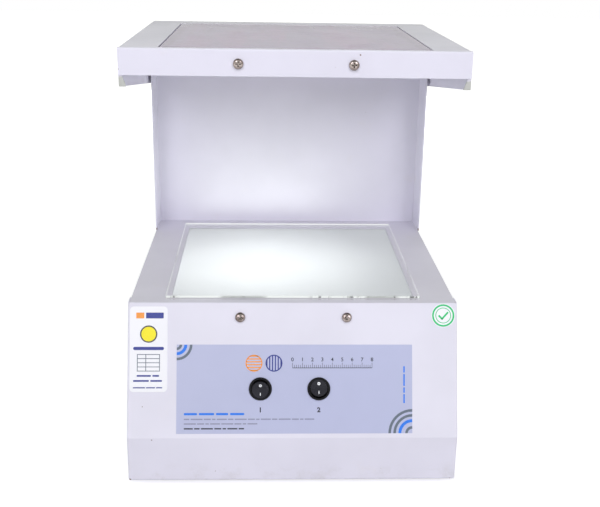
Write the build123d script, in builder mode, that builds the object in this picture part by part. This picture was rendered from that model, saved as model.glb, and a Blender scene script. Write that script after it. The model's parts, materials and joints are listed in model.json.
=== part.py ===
"""Bench polariscope: lit stage in a folded sheet base, rear column, overhanging analyser head."""
import os
from math import atan2, cos, hypot, radians, sin, tan

from build123d import *

os.makedirs("parts", exist_ok=True)

# Sheet metal, in millimetres. Y runs back from the front, X to the right, Z up from the floor
sheet = 1.2
bend_radius = 2.0
slip_gap = 0.3
flange_width = 14.0

# Base cabinet
overall_depth = 370.0
cabinet_width = 328.0
base_height = 174.0
kick_height = 48.0
front_setback = 48.0
foot_height = 5.0
foot_radius = 9.0
foot_inset = 34.0
foot_taper = 8.0
pan_flange_height = 16.0

# Stage window and the sheets that lie over and under it
stage_side_margin = 35.0
stage_back_gap = 25.0
stage_glass_thickness = 4.0
stage_glass_setback = 9.0
stage_glass_corner = 1.5
stage_glass_bevel = 0.4
stage_ledge_side = 5.5
stage_ledge_end = 7.0
polariser_thickness = 2.0
diffuser_thickness = 3.0
lower_sheet_lap = 6.0

# Rear column
column_recess = 48.0
column_box_depth = 30.5
column_foot_gap = 1.5
column_bolt_inset = 34.0
back_screw_spacing = 200.0
head_bolt_offset = 15.0
head_bolt_drop = 27.0
head_spacer_radius = 7.0
pan_screw_spacing = 220.0

# Head
head_top_height = 422.0
head_side_gap = 3.3
head_length = 300.0
fascia_height = 26.0
fascia_lip = 4.0
cheek_front_drop = 37.0
cheek_back_drop = 76.0
cheek_lip_width = 6.0
cheek_lip_neck = 2.0
analyser_side_margin = 39.0
analyser_back_gap = 2.1
analyser_bevel = 0.3
analyser_thickness = 3.0
analyser_gap = 1.6
rail_ledge = 7.0
front_bar_depth = 20.0
front_bar_lift = 1.0

# Controls and labels, placed on the sloping front
switch_left_x = -33.0
switch_right_x = 25.5
switch_above_label_middle = 0.25
switch_bezel_lip = 1.5
switch_bezel_height = 2.0
switch_barrel_radius = 10.0
switch_barrel_depth = 15.0
switch_barrel_wall = 0.65
switch_block_thickness = 2.35
switch_floor = 2.5
rocker_rim_gap = 0.95
rocker_half_travel = 9.0
rocker_pivot_depth = 3.5
rocker_face_height = 2.0
rocker_disc_depth = 1.6
rocker_stem_thickness = 6.0
rocker_pin_radius = 1.2
rocker_pin_clearance = 0.07
rocker_side_gap = 1.0
rocker_well_gap = 1.2
rocker_pin_hold = 1.4
tab_width = 4.8
tab_thickness = 0.8
label_left_margin = 49.0
label_right_margin = 46.0
label_bottom = 4.5
label_top_margin = 41.8
label_thickness = 0.3
plain_label_width = 37.4
plain_label_bottom = 46.0
plain_label_top_gap = 3.8
plain_label_inset = 2.3
plain_label_corner = 4.0
round_label_radius = 12.0
round_label_top_gap = 0.4

# Screws
m5_head_radius = 5.0
m5_head_height = 3.4
m5_radius = 2.5
m5_length = 10.0
m5_nut_radius = 4.6
m5_nut_height = 4.0
m4_head_radius = 4.0
m4_head_height = 2.6
m4_radius = 2.0
m4_length = 8.0
m3_head_radius = 2.8
m3_head_height = 1.8
m3_radius = 1.5
m3_length = 8.0
m3_nut_radius = 3.2
m3_nut_height = 2.4
clearance_hole = 0.25
front_screw_spacing = 107.0
front_screw_drop = 14.5
fascia_screw_spacing = 110.0
fascia_screw_drop = 14.0

# Lamp chamber
tray_side_margin = 10.5
tray_end_margin = 4.0
tray_depth = 80.0
tray_draft = 8.0
tray_flange = 8.0
stud_end_inset = 15.0
stud_tail = 2.0
tube_radius = 6.0
tube_gap = 2.5
tube_end_gap = 2.5
tube_cap_length = 30.0
tube_cap_side = 2.75
tube_cap_over = 3.0
tube_holder_length = 24.0
tube_height = 22.0
tube_offset = -55.0
tube_clip_width = 12.0
sodium_radius = 27.0
sodium_end_gap = 13.5
sodium_floor_gap = 7.0
sodium_wall = 1.0
sodium_arc_radius = 6.5
sodium_arc_gap = 5.0
sodium_arc_end_gap = 12.0
sodium_cap_radius = 11.0
sodium_cap_length = 20.0
sodium_holder_wall = 3.7
sodium_holder_length = 30.0
sodium_offset = 42.0

# Control gear on the floor pan
gear_side_gap = 28.0
gear_foot = 14.0
gear_foot_thickness = 2.0
gear_headroom = 17.0
choke_length = 96.0
choke_width = 62.0
choke_height = 48.0
choke_window = 9.0
choke_y = 40.0
ballast_length = 130.0
ballast_width = 38.0
ballast_height = 28.0
ballast_y = -62.0
ignitor_radius = 17.0
ignitor_x = 20.0
ignitor_y = 46.0
terminal_spacing = 10.0
terminal_count = 6
terminal_width = 18.0
terminal_height = 15.0
terminal_x = 92.0
terminal_y = 20.0
earth_x = 70.0
earth_back_gap = 43.5
earth_length = 12.0

# Mains inlet in the back wall
inlet_side_inset = 59.0
inlet_height = 42.0
inlet_flange_thickness = 3.0
inlet_flange_lip = 1.5
inlet_flange_ear = 5.0
inlet_corner = 3.0
inlet_screw_gap = 6.0
inlet_wall = 1.7
inlet_floor = 10.0
inlet_socket_width = 24.6
inlet_socket_height = 16.6
inlet_socket_depth = 17.0
inlet_socket_chamfer = 5.0
pin_width = 2.0
pin_height = 4.0
pin_spacing = 14.0
pin_offset = 2.0
pin_setback = 2.0
tab_length = 9.0

# Slots in the walls and the floor
vent_width = 3.0
vent_length = 34.0
vent_spacing = 9.0
vent_count = 9
vent_height = 97.4
vent_back_inset = 74.5
back_vent_x = -52.5

# Places worked out from the sizes above
kick_y = -overall_depth / 2
head_back_y = overall_depth / 2
back_y = head_back_y - sheet - slip_gap
base_z = foot_height
deck_z = base_z + base_height
bend_z = base_z + kick_height
cabinet_half = cabinet_width / 2
panel_half = cabinet_half + slip_gap + sheet
slope_rise = base_height - kick_height
slope_length = hypot(front_setback, slope_rise)
lean = atan2(front_setback, slope_rise)
deck_front_y = kick_y + front_setback
deck_inner_y = deck_front_y + sheet / cos(lean)
kick_inner_y = kick_y + sheet
slope_plane = Plane(
    origin=(0, kick_y, bend_z),
    x_dir=(1, 0, 0),
    z_dir=(0, -slope_rise / slope_length, front_setback / slope_length),
)
web_y = back_y - column_box_depth
web_back_y = web_y + sheet
column_lip_y = web_y - column_recess
column_flange = column_box_depth / 2 - slip_gap
glass_width = cabinet_width - 2 * stage_side_margin
glass_front_y = deck_front_y + stage_glass_setback
glass_depth = web_y - stage_back_gap - glass_front_y
glass_centre_y = glass_front_y + glass_depth / 2
window_width = glass_width - 2 * stage_ledge_side
window_depth = glass_depth - 2 * stage_ledge_end
polariser_z = deck_z - sheet - polariser_thickness
diffuser_z = polariser_z - diffuser_thickness
frame_z = diffuser_z - sheet
tray_z = frame_z - sheet
tray_floor_z = tray_z - tray_depth
tray_width = window_width + 2 * tray_side_margin
tray_length = window_depth + 2 * tray_end_margin
tray_floor_half = tray_width / 2 - tray_depth * tan(radians(tray_draft)) - sheet
stud_x = tray_width / 2 + tray_flange / 2
stud_y = tray_length / 2 - stud_end_inset
head_top_z = base_z + head_top_height
head_under_z = head_top_z - sheet
cheek_inner = cabinet_half + head_side_gap
head_half = cheek_inner + sheet
head_front_y = head_back_y - head_length
fascia_back_y = head_front_y + sheet
shell_front_y = head_front_y + fascia_lip + slip_gap
window_back_y = web_y - analyser_back_gap
analyser_width = 2 * (head_half - analyser_side_margin)
analyser_length = window_back_y - analyser_gap - shell_front_y
analyser_centre_y = shell_front_y + analyser_length / 2
head_window_half = analyser_width / 2 + analyser_gap
rail_z = head_top_z - analyser_thickness
pan_z = base_z + sheet
floor_z = pan_z + sheet
column_bolt_x = cabinet_half - column_bolt_inset
column_bolt_rows = (web_back_y + column_flange / 2, back_y - column_flange / 2)
column_bolt_places = [(x * column_bolt_x, y) for y in column_bolt_rows for x in (-1, 0, 1)]
head_bolt_rows = (web_y - head_bolt_offset, web_back_y + head_bolt_offset)
head_bolt_z = head_top_z - head_bolt_drop
back_screw_z = head_top_z - cheek_back_drop / 2
pan_screw_z = pan_z + pan_flange_height - m4_head_radius
label_half = panel_half - (label_left_margin + label_right_margin) / 2
label_centre_x = (label_left_margin - label_right_margin) / 2
label_height = slope_length - label_bottom - label_top_margin
switch_height_on_slope = label_bottom + label_height / 2 + switch_above_label_middle
gear_left_x = gear_side_gap - cabinet_half
choke_x = gear_left_x + choke_length / 2
ballast_x = gear_left_x + ballast_length / 2
choke_screw_x = choke_length / 2 - gear_foot / 2
ballast_screw_x = ballast_length / 2 - gear_foot / 2
gear_screw_places = [(choke_x + side * choke_screw_x, choke_y) for side in (-1, 1)]
gear_screw_places += [(ballast_x + side * ballast_screw_x, ballast_y) for side in (-1, 1)]
inlet_x = cabinet_half - inlet_side_inset
inlet_body_width = inlet_socket_width + 2 * inlet_wall
inlet_body_height = inlet_socket_height + 2 * inlet_wall
inlet_screw_x = inlet_body_width / 2 + inlet_screw_gap
pin_places = [(side * pin_spacing / 2, -pin_offset) for side in (-1, 1)] + [(0, pin_offset)]
foot_x = cabinet_half - foot_inset
foot_places = [(x, y) for x in (-foot_x, foot_x) for y in (kick_y + foot_inset, back_y - foot_inset)]


def folded_sheet(*corners, side=Side.LEFT):
    """Make the edge view of a folded sheet from the corners of its outer skin."""
    with BuildSketch() as edge_view:
        with BuildLine():
            FilletPolyline(*corners, radius=bend_radius)
            offset(amount=sheet, side=side)
        make_face()
    return edge_view.sketch


def front_line(inset, bottom):
    """Give the side view of the kick and slope, a distance behind their outer skin."""
    return [
        (kick_y + inset, bottom),
        (kick_y + inset, bend_z - inset * tan(lean / 2)),
        (deck_front_y + inset / cos(lean), deck_z),
    ]


def front_band(inset, reach, bottom):
    """Make the side view of the band between two such lines."""
    with BuildSketch() as band:
        with BuildLine():
            Polyline(*front_line(inset, bottom), *reversed(front_line(reach, bottom)), close=True)
        make_face()
    return band.sketch


def pan_head_screw(head_radius, head_height, radius, length, recess=True):
    """Make a pan head screw that seats on the XY plane, with its head upwards."""
    with BuildPart() as screw:
        Cylinder(head_radius, head_height, align=(Align.CENTER, Align.CENTER, Align.MIN))
        fillet(screw.edges().group_by(Axis.Z)[-1], head_height * 0.55)
        if recess:
            with BuildSketch(Plane.XY.offset(head_height)):
                Rectangle(head_radius, head_radius * 0.24)
                Rectangle(head_radius * 0.24, head_radius)
            extrude(amount=-head_height * 0.55, mode=Mode.SUBTRACT)
        Cylinder(radius, length, align=(Align.CENTER, Align.CENTER, Align.MAX))
    return screw.part


def hex_nut(radius, height, bore):
    """Make a plain hexagon nut that hangs below the XY plane."""
    with BuildPart() as nut:
        with BuildSketch():
            RegularPolygon(radius, 6)
            Circle(bore, mode=Mode.SUBTRACT)
        extrude(amount=-height)
    return nut.part


m5_screw = pan_head_screw(m5_head_radius, m5_head_height, m5_radius, m5_length)
m4_screw = pan_head_screw(m4_head_radius, m4_head_height, m4_radius, m4_length, recess=False)
m3_screw = pan_head_screw(m3_head_radius, m3_head_height, m3_radius, m3_length, recess=False)
m5_nut = hex_nut(m5_nut_radius, m5_nut_height, m5_radius)
m3_nut = hex_nut(m3_nut_radius, m3_nut_height, m3_radius)
TOP_ALIGN = (Align.CENTER, Align.MIN)
made = []


def finish(builder, name):
    """Label a finished sub-part and write it to its own file."""
    builder.part.label = name
    export_step(builder.part, "parts/" + name + ".step")
    made.append(name)


# Base cabinet: side walls and back wall folded from one sheet
with BuildPart() as base_cabinet:
    with BuildSketch(Plane.XY.offset(base_z)):
        add(
            folded_sheet(
                (cabinet_half, kick_inner_y),
                (cabinet_half, back_y),
                (-cabinet_half, back_y),
                (-cabinet_half, kick_inner_y),
            )
        )
    extrude(amount=base_height - sheet)
    inner_half = cabinet_half - sheet
    top_flange_y = deck_inner_y + 2 * bend_radius
    with BuildSketch(Plane.XY.offset(deck_z - 2 * sheet)):
        with Locations((0, (top_flange_y + back_y - sheet) / 2)):
            Rectangle(2 * inner_half, back_y - sheet - top_flange_y)
        with Locations((0, (top_flange_y + back_y) / 2 - flange_width)):
            Rectangle(2 * (inner_half - flange_width), back_y - top_flange_y, mode=Mode.SUBTRACT)
    extrude(amount=sheet)
    with BuildSketch(Plane.YZ):
        add(front_band(-front_setback, sheet + slip_gap, base_z))
    extrude(amount=cabinet_width, both=True, mode=Mode.SUBTRACT)
    with BuildSketch(Plane.XY.offset(base_z)):
        with Locations((0, kick_y)):
            Rectangle(cabinet_width, 2 * (flange_width + slip_gap))
    extrude(amount=sheet, mode=Mode.SUBTRACT)
    with BuildSketch(Plane.YZ):
        with Locations((back_y - vent_back_inset, base_z + vent_height)):
            with GridLocations(vent_spacing, 0, vent_count, 1):
                SlotOverall(vent_length, vent_width, rotation=90)
    extrude(amount=cabinet_width, both=True, mode=Mode.SUBTRACT)
    with BuildSketch(Plane.XZ.offset(-back_y)):
        with Locations((back_vent_x, base_z + vent_height)):
            with GridLocations(vent_spacing, 0, vent_count, 1):
                SlotOverall(vent_length, vent_width, rotation=90)
        with Locations((inlet_x, base_z + inlet_height)):
            Rectangle(inlet_body_width + slip_gap, inlet_body_height + slip_gap)
            with GridLocations(2 * inlet_screw_x, 0, 2, 1):
                Circle(m3_radius + clearance_hole)
    extrude(amount=3 * sheet, mode=Mode.SUBTRACT)
    with BuildSketch(Plane.XZ.offset(-back_y)):
        with Locations((0, pan_screw_z)):
            with GridLocations(pan_screw_spacing, 0, 2, 1):
                Circle(m4_radius + clearance_hole)
    extrude(amount=3 * sheet, mode=Mode.SUBTRACT)
    with BuildSketch(Plane.YZ):
        with Locations((0, pan_screw_z)):
            with GridLocations(pan_screw_spacing, 0, 2, 1):
                Circle(m4_radius + clearance_hole)
    extrude(amount=cabinet_width, both=True, mode=Mode.SUBTRACT)
    with BuildSketch(Plane.XY.offset(deck_z - sheet)):
        with Locations(*column_bolt_places):
            Circle(m4_radius + clearance_hole)
    extrude(amount=-sheet, mode=Mode.SUBTRACT)
finish(base_cabinet, "base_cabinet")

# Floor pan: upturned edges inside the cabinet walls, slots under the control gear
pan_front_y = kick_inner_y + slip_gap
with BuildPart() as floor_pan:
    with BuildSketch(Plane.XY.offset(pan_z)):
        with Locations((0, (pan_front_y + back_y - sheet) / 2)):
            Rectangle(cabinet_width - 2 * sheet, back_y - sheet - pan_front_y)
    extrude(amount=pan_flange_height)
    fillet(floor_pan.edges().filter_by(Axis.Z).group_by(Axis.Y)[-1], bend_radius)
    with BuildSketch(Plane.XY.offset(floor_z)):
        with Locations((0, (pan_front_y + back_y - 2 * sheet) / 2 - sheet)):
            Rectangle(cabinet_width - 4 * sheet, back_y - pan_front_y)
    extrude(amount=pan_flange_height, mode=Mode.SUBTRACT)
    with BuildSketch(Plane.XY.offset(pan_z)):
        with Locations((0, back_y - foot_inset - vent_length)):
            with GridLocations(vent_spacing, 0, vent_count, 1):
                SlotOverall(vent_length, vent_width, rotation=90)
        with Locations(*foot_places, *gear_screw_places):
            Circle(m4_radius + clearance_hole)
    extrude(amount=sheet, mode=Mode.SUBTRACT)
    with BuildSketch(Plane.XZ.offset(-back_y)):
        with Locations((0, pan_screw_z)):
            with GridLocations(pan_screw_spacing, 0, 2, 1):
                Circle(m4_radius + clearance_hole)
    extrude(amount=3 * sheet, mode=Mode.SUBTRACT)
    with BuildSketch(Plane.YZ):
        with Locations((0, pan_screw_z)):
            with GridLocations(pan_screw_spacing, 0, 2, 1):
                Circle(m4_radius + clearance_hole)
    extrude(amount=cabinet_width, both=True, mode=Mode.SUBTRACT)
finish(floor_pan, "floor_pan")

# Front panel: kick and slope in one sheet, with returns at the sides and the bottom
screw_on_slope = slope_length - front_screw_drop
with BuildPart() as front_panel:
    with BuildSketch(Plane.YZ):
        add(front_band(0, flange_width, base_z))
    extrude(amount=panel_half, both=True)
    fillet(front_panel.edges().filter_by(Axis.X).group_by(Axis.Y)[0], bend_radius)
    front_skin = front_panel.faces().filter_by(lambda skin: skin.normal_at().Y < -0.5)
    rims = front_skin.edges().group_by(Axis.X)
    fillet(rims[0] + rims[-1], bend_radius)
    with BuildSketch(Plane.YZ):
        add(front_band(sheet, flange_width + sheet, base_z + sheet))
    extrude(amount=cabinet_half + slip_gap, both=True, mode=Mode.SUBTRACT)
    with BuildSketch(slope_plane):
        with Locations((switch_left_x, switch_height_on_slope), (switch_right_x, switch_height_on_slope)):
            Circle(switch_barrel_radius + slip_gap / 2)
        with Locations((0, screw_on_slope)):
            with GridLocations(front_screw_spacing, 0, 2, 1):
                Circle(m5_radius + clearance_hole)
    extrude(amount=-2 * sheet, mode=Mode.SUBTRACT)
finish(front_panel, "front_panel")

# Deck: the plate that frames the stage, folded down behind the front panel
deck_flange = front_screw_drop + m5_nut_radius + bend_radius
with BuildPart() as deck_plate:
    with BuildSketch(Plane.YZ):
        add(
            folded_sheet(
                (back_y, deck_z),
                (deck_inner_y, deck_z),
                (deck_inner_y - deck_flange * sin(lean), deck_z - deck_flange * cos(lean)),
            )
        )
    extrude(amount=cabinet_half, both=True)
    with BuildSketch(Plane.XY.offset(deck_z - sheet)):
        with Locations((-cabinet_half, deck_inner_y), (cabinet_half, deck_inner_y)):
            Rectangle(2 * (sheet + slip_gap), 2 * deck_flange)
    extrude(amount=-2 * deck_flange, mode=Mode.SUBTRACT)
    with BuildSketch(Plane.XY.offset(deck_z)):
        with Locations((0, glass_centre_y)):
            Rectangle(window_width, window_depth)
    extrude(amount=-2 * sheet, mode=Mode.SUBTRACT)
    with BuildSketch(slope_plane):
        with Locations((0, screw_on_slope)):
            with GridLocations(front_screw_spacing, 0, 2, 1):
                Circle(m5_radius + clearance_hole)
    extrude(amount=-4 * sheet, mode=Mode.SUBTRACT)
    with BuildSketch(Plane.XY.offset(deck_z)):
        with Locations(*column_bolt_places):
            Circle(m4_radius + clearance_hole)
    extrude(amount=-sheet, mode=Mode.SUBTRACT)
finish(deck_plate, "deck_plate")

with BuildPart(slope_plane) as front_panel_screws:
    with Locations((-front_screw_spacing / 2, screw_on_slope), (front_screw_spacing / 2, screw_on_slope)):
        add(m5_screw)
finish(front_panel_screws, "front_panel_screws")

with BuildPart(slope_plane.offset(-2 * sheet)) as front_panel_nuts:
    with Locations((-front_screw_spacing / 2, screw_on_slope), (front_screw_spacing / 2, screw_on_slope)):
        add(m5_nut)
finish(front_panel_nuts, "front_panel_nuts")

# Stage glass and the sheets under the deck
with BuildPart() as stage_glass:
    with BuildSketch(Plane.XY.offset(deck_z)):
        with Locations((0, glass_centre_y)):
            RectangleRounded(glass_width, glass_depth, stage_glass_corner)
    extrude(amount=stage_glass_thickness)
    chamfer(stage_glass.faces().sort_by(Axis.Z)[-1].edges(), stage_glass_bevel)
finish(stage_glass, "stage_glass")

lower_width = window_width + 2 * lower_sheet_lap
lower_depth = window_depth + 2 * lower_sheet_lap
with BuildPart() as polariser_sheet:
    with BuildSketch(Plane.XY.offset(polariser_z)):
        with Locations((0, glass_centre_y)):
            Rectangle(lower_width, lower_depth)
    extrude(amount=polariser_thickness)
finish(polariser_sheet, "polariser_sheet")

with BuildPart() as diffuser_sheet:
    with BuildSketch(Plane.XY.offset(diffuser_z)):
        with Locations((0, glass_centre_y)):
            Rectangle(lower_width, lower_depth)
    extrude(amount=diffuser_thickness)
finish(diffuser_sheet, "diffuser_sheet")

# Frame that clamps the two sheets, and the tapered white tray that hangs under it
stud_places = [(x, y) for x in (-stud_x, stud_x) for y in (-stud_y, 0, stud_y)]
with BuildPart() as sheet_frame:
    with BuildSketch(Plane.XY.offset(frame_z)):
        with Locations((0, glass_centre_y)):
            Rectangle(tray_width + 2 * tray_flange, tray_length + 2 * tray_flange)
            Rectangle(window_width, window_depth, mode=Mode.SUBTRACT)
            with Locations(*stud_places):
                Circle(m4_radius + clearance_hole, mode=Mode.SUBTRACT)
    extrude(amount=sheet)
finish(sheet_frame, "sheet_frame")

with BuildPart() as reflector_tray:
    with BuildSketch(Plane.XY.offset(tray_z)):
        with Locations((0, glass_centre_y)):
            Rectangle(tray_width, tray_length)
    extrude(amount=-tray_depth, taper=tray_draft)
    offset(amount=-sheet, openings=reflector_tray.faces().sort_by(Axis.Z)[-1])
    with BuildSketch(Plane.XY.offset(tray_z)):
        with Locations((0, glass_centre_y)):
            Rectangle(tray_width + 2 * tray_flange, tray_length + 2 * tray_flange)
            Rectangle(tray_width - 2 * sheet, tray_length - 2 * sheet, mode=Mode.SUBTRACT)
            with Locations(*stud_places):
                Circle(m4_radius + clearance_hole, mode=Mode.SUBTRACT)
    extrude(amount=sheet)
finish(reflector_tray, "reflector_tray")

with BuildPart() as frame_studs:
    with Locations(*[(x, glass_centre_y + y, deck_z - sheet) for x, y in stud_places]):
        stud_length = deck_z - sheet - tray_z + m4_head_height + stud_tail
        Cylinder(m4_radius, stud_length, align=(Align.CENTER, Align.CENTER, Align.MAX))
finish(frame_studs, "frame_studs")

with BuildPart() as frame_spacers:
    with BuildSketch(Plane.XY.offset(diffuser_z)):
        with Locations(*[(x, glass_centre_y + y) for x, y in stud_places]):
            Circle(2 * m4_radius)
            Circle(m4_radius, mode=Mode.SUBTRACT)
    extrude(amount=polariser_thickness + diffuser_thickness)
finish(frame_spacers, "frame_spacers")

with BuildPart() as frame_nuts:
    with BuildSketch(Plane.XY.offset(tray_z)):
        with Locations(*[(x, glass_centre_y + y) for x, y in stud_places]):
            RegularPolygon(2 * m4_radius, 6)
            Circle(m4_radius, mode=Mode.SUBTRACT)
    extrude(amount=-m4_head_height)
finish(frame_nuts, "frame_nuts")

# Labels on the sloping front
with BuildPart() as control_label:
    with BuildSketch(slope_plane):
        with Locations((label_centre_x, label_bottom + label_height / 2)):
            Rectangle(2 * label_half, label_height)
        with Locations((switch_left_x, switch_height_on_slope), (switch_right_x, switch_height_on_slope)):
            Circle(switch_barrel_radius + slip_gap / 2, mode=Mode.SUBTRACT)
    extrude(amount=label_thickness)
finish(control_label, "control_label")

plain_label_x = plain_label_inset + plain_label_width / 2 - panel_half
plain_label_top = slope_length - plain_label_top_gap
with BuildPart() as plain_label:
    with BuildSketch(slope_plane):
        with Locations((plain_label_x, (plain_label_top + plain_label_bottom) / 2)):
            RectangleRounded(plain_label_width, plain_label_top - plain_label_bottom, plain_label_corner)
    extrude(amount=label_thickness)
finish(plain_label, "plain_label")

round_label_x = panel_half - bend_radius - slip_gap - round_label_radius
with BuildPart() as round_label:
    with BuildSketch(slope_plane):
        with Locations((round_label_x, slope_length - round_label_top_gap - round_label_radius)):
            Circle(round_label_radius)
    extrude(amount=label_thickness)
finish(round_label, "round_label")

# Round rocker switches: a bezel and barrel with side blocks that carry the rocker's two pins
bezel_radius = switch_barrel_radius + switch_bezel_lip
well_radius = switch_barrel_radius - switch_barrel_wall
rocker_radius = well_radius - rocker_rim_gap
stem_width = 2 * (well_radius - switch_block_thickness - rocker_side_gap)
bezel_base = label_thickness
pivot_w = bezel_base - rocker_pivot_depth
rocker_face = rocker_pivot_depth + rocker_face_height
bezel_well_radius = rocker_radius + rocker_well_gap
block_top = pivot_w + rocker_face - rocker_disc_depth - rocker_well_gap
pin_half_length = stem_width / 2 + rocker_side_gap + rocker_pin_hold


def switch_housing():
    """Make the fixed part of a switch, upright, with its panel face on the XY plane."""
    with BuildPart() as housing:
        with BuildSketch(Plane.XY.offset(bezel_base)):
            Circle(bezel_radius)
        extrude(amount=switch_bezel_height)
        fillet(housing.edges().group_by(Axis.Z)[-1], switch_bezel_height * 0.6)
        with BuildSketch(Plane.XY.offset(bezel_base)):
            Circle(switch_barrel_radius)
        extrude(amount=-switch_barrel_depth)
        with BuildSketch(Plane.XY.offset(bezel_base + switch_bezel_height)):
            Circle(bezel_well_radius)
        extrude(amount=-switch_bezel_height, mode=Mode.SUBTRACT)
        with BuildSketch(Plane.XY.offset(bezel_base)):
            Circle(well_radius)
        extrude(amount=switch_floor - switch_barrel_depth, mode=Mode.SUBTRACT)
        with BuildSketch(Plane.XY.offset(block_top)):
            Circle(well_radius)
            Rectangle(stem_width + 2 * rocker_side_gap, 2 * well_radius, mode=Mode.SUBTRACT)
        extrude(amount=bezel_base - switch_barrel_depth + switch_floor - block_top)
        with BuildSketch(Plane.YZ):
            with Locations((0, pivot_w)):
                Circle(rocker_pin_radius + rocker_pin_clearance)
        extrude(amount=pin_half_length + slip_gap, both=True, mode=Mode.SUBTRACT)
    return housing.part


def rocker(sense):
    """Make a rocker lying with one half pressed, for a pivot along X at the height pivot_w."""
    slope = tan(radians(rocker_half_travel))
    face = rocker_face
    rise = rocker_radius * slope
    with BuildPart() as key:
        with BuildSketch(Plane.XY.offset(face - rocker_disc_depth)):
            Circle(rocker_radius)
        extrude(amount=rocker_disc_depth + rise)
        with BuildSketch(Plane.YZ):
            with BuildLine():
                Polyline(
                    (0, face),
                    (2 * rocker_radius, face + 2 * rise),
                    (2 * rocker_radius, face + 3 * rise),
                    (-2 * rocker_radius, face + 3 * rise),
                    (-2 * rocker_radius, face + 2 * rise),
                    close=True,
                )
            make_face()
        extrude(amount=rocker_radius, both=True, mode=Mode.SUBTRACT)
        with BuildSketch(Plane.XY.offset(face - rocker_disc_depth)):
            Rectangle(stem_width, rocker_stem_thickness)
        extrude(amount=rocker_disc_depth - face - 2 * rocker_pin_radius)
        with BuildSketch(Plane.YZ):
            Circle(rocker_pin_radius)
        extrude(amount=pin_half_length, both=True)
    tipped = key.part.rotate(Axis.X, sense * rocker_half_travel)
    return tipped.translate((0, 0, pivot_w))


for name, place_x, sense in (("left", switch_left_x, 1), ("right", switch_right_x, -1)):
    with BuildPart(slope_plane) as housing_placed:
        with Locations((place_x, switch_height_on_slope)):
            add(switch_housing())
    finish(housing_placed, name + "_switch_housing")
    with BuildPart(slope_plane) as rocker_placed:
        with Locations((place_x, switch_height_on_slope)):
            add(rocker(sense))
    finish(rocker_placed, name + "_switch_rocker")

with BuildPart(slope_plane.offset(bezel_base - switch_barrel_depth)) as switch_terminals:
    for place_x in (switch_left_x, switch_right_x):
        for side in (-1, 1):
            with Locations((place_x, switch_height_on_slope + side * rocker_stem_thickness)):
                Box(tab_width, tab_thickness, tab_length, align=(Align.CENTER, Align.CENTER, Align.MAX))
finish(switch_terminals, "switch_terminals")

# Rear column: a recessed front channel and a back cover behind it
with BuildPart() as column_channel:
    with BuildSketch(Plane.XY.offset(deck_z)):
        add(
            folded_sheet(
                (cabinet_half, column_lip_y),
                (cabinet_half, web_back_y),
                (-cabinet_half, web_back_y),
                (-cabinet_half, column_lip_y),
            )
        )
    extrude(amount=head_under_z - deck_z)
    with BuildSketch(Plane.XY.offset(deck_z)):
        with Locations((0, column_lip_y)):
            Rectangle(cabinet_width, 2 * (column_recess - bend_radius))
    extrude(amount=column_foot_gap, mode=Mode.SUBTRACT)
    for level in (deck_z, head_under_z - sheet):
        with BuildSketch(Plane.XY.offset(level)):
            with Locations((0, web_y + column_flange / 2)):
                Rectangle(cabinet_width - 4 * bend_radius, column_flange)
        extrude(amount=sheet)
    with BuildSketch(Plane.XY.offset(deck_z + sheet)):
        with Locations(*column_bolt_places):
            Circle(m4_radius + clearance_hole)
    extrude(amount=-sheet, mode=Mode.SUBTRACT)
    with BuildSketch(Plane.YZ):
        with Locations((head_bolt_rows[0], head_bolt_z)):
            Circle(m5_radius + clearance_hole)
    extrude(amount=cabinet_width, both=True, mode=Mode.SUBTRACT)
finish(column_channel, "column_channel")

cover_front_y = web_back_y + slip_gap
with BuildPart() as column_back_cover:
    with BuildSketch(Plane.XY.offset(deck_z)):
        add(
            folded_sheet(
                (cabinet_half, cover_front_y),
                (cabinet_half, back_y),
                (-cabinet_half, back_y),
                (-cabinet_half, cover_front_y),
            )
        )
    extrude(amount=head_under_z - deck_z)
    with BuildSketch(Plane.XY.offset(deck_z)):
        with Locations((0, back_y - column_flange / 2)):
            Rectangle(cabinet_width - 4 * bend_radius, column_flange)
    extrude(amount=sheet)
    with BuildSketch(Plane.XZ.offset(-back_y)):
        with Locations((0, back_screw_z)):
            with GridLocations(back_screw_spacing, 0, 2, 1):
                Circle(m4_radius + clearance_hole)
    extrude(amount=2 * sheet, mode=Mode.SUBTRACT)
    with BuildSketch(Plane.XY.offset(deck_z + sheet)):
        with Locations(*column_bolt_places):
            Circle(m4_radius + clearance_hole)
    extrude(amount=-sheet, mode=Mode.SUBTRACT)
    with BuildSketch(Plane.YZ):
        with Locations((head_bolt_rows[1], head_bolt_z)):
            Circle(m5_radius + clearance_hole)
    extrude(amount=cabinet_width, both=True, mode=Mode.SUBTRACT)
finish(column_back_cover, "column_back_cover")

with BuildPart(Plane.XY.offset(deck_z + sheet)) as column_bolts:
    with Locations(*column_bolt_places):
        add(m4_screw)
finish(column_bolts, "column_bolts")

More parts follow.
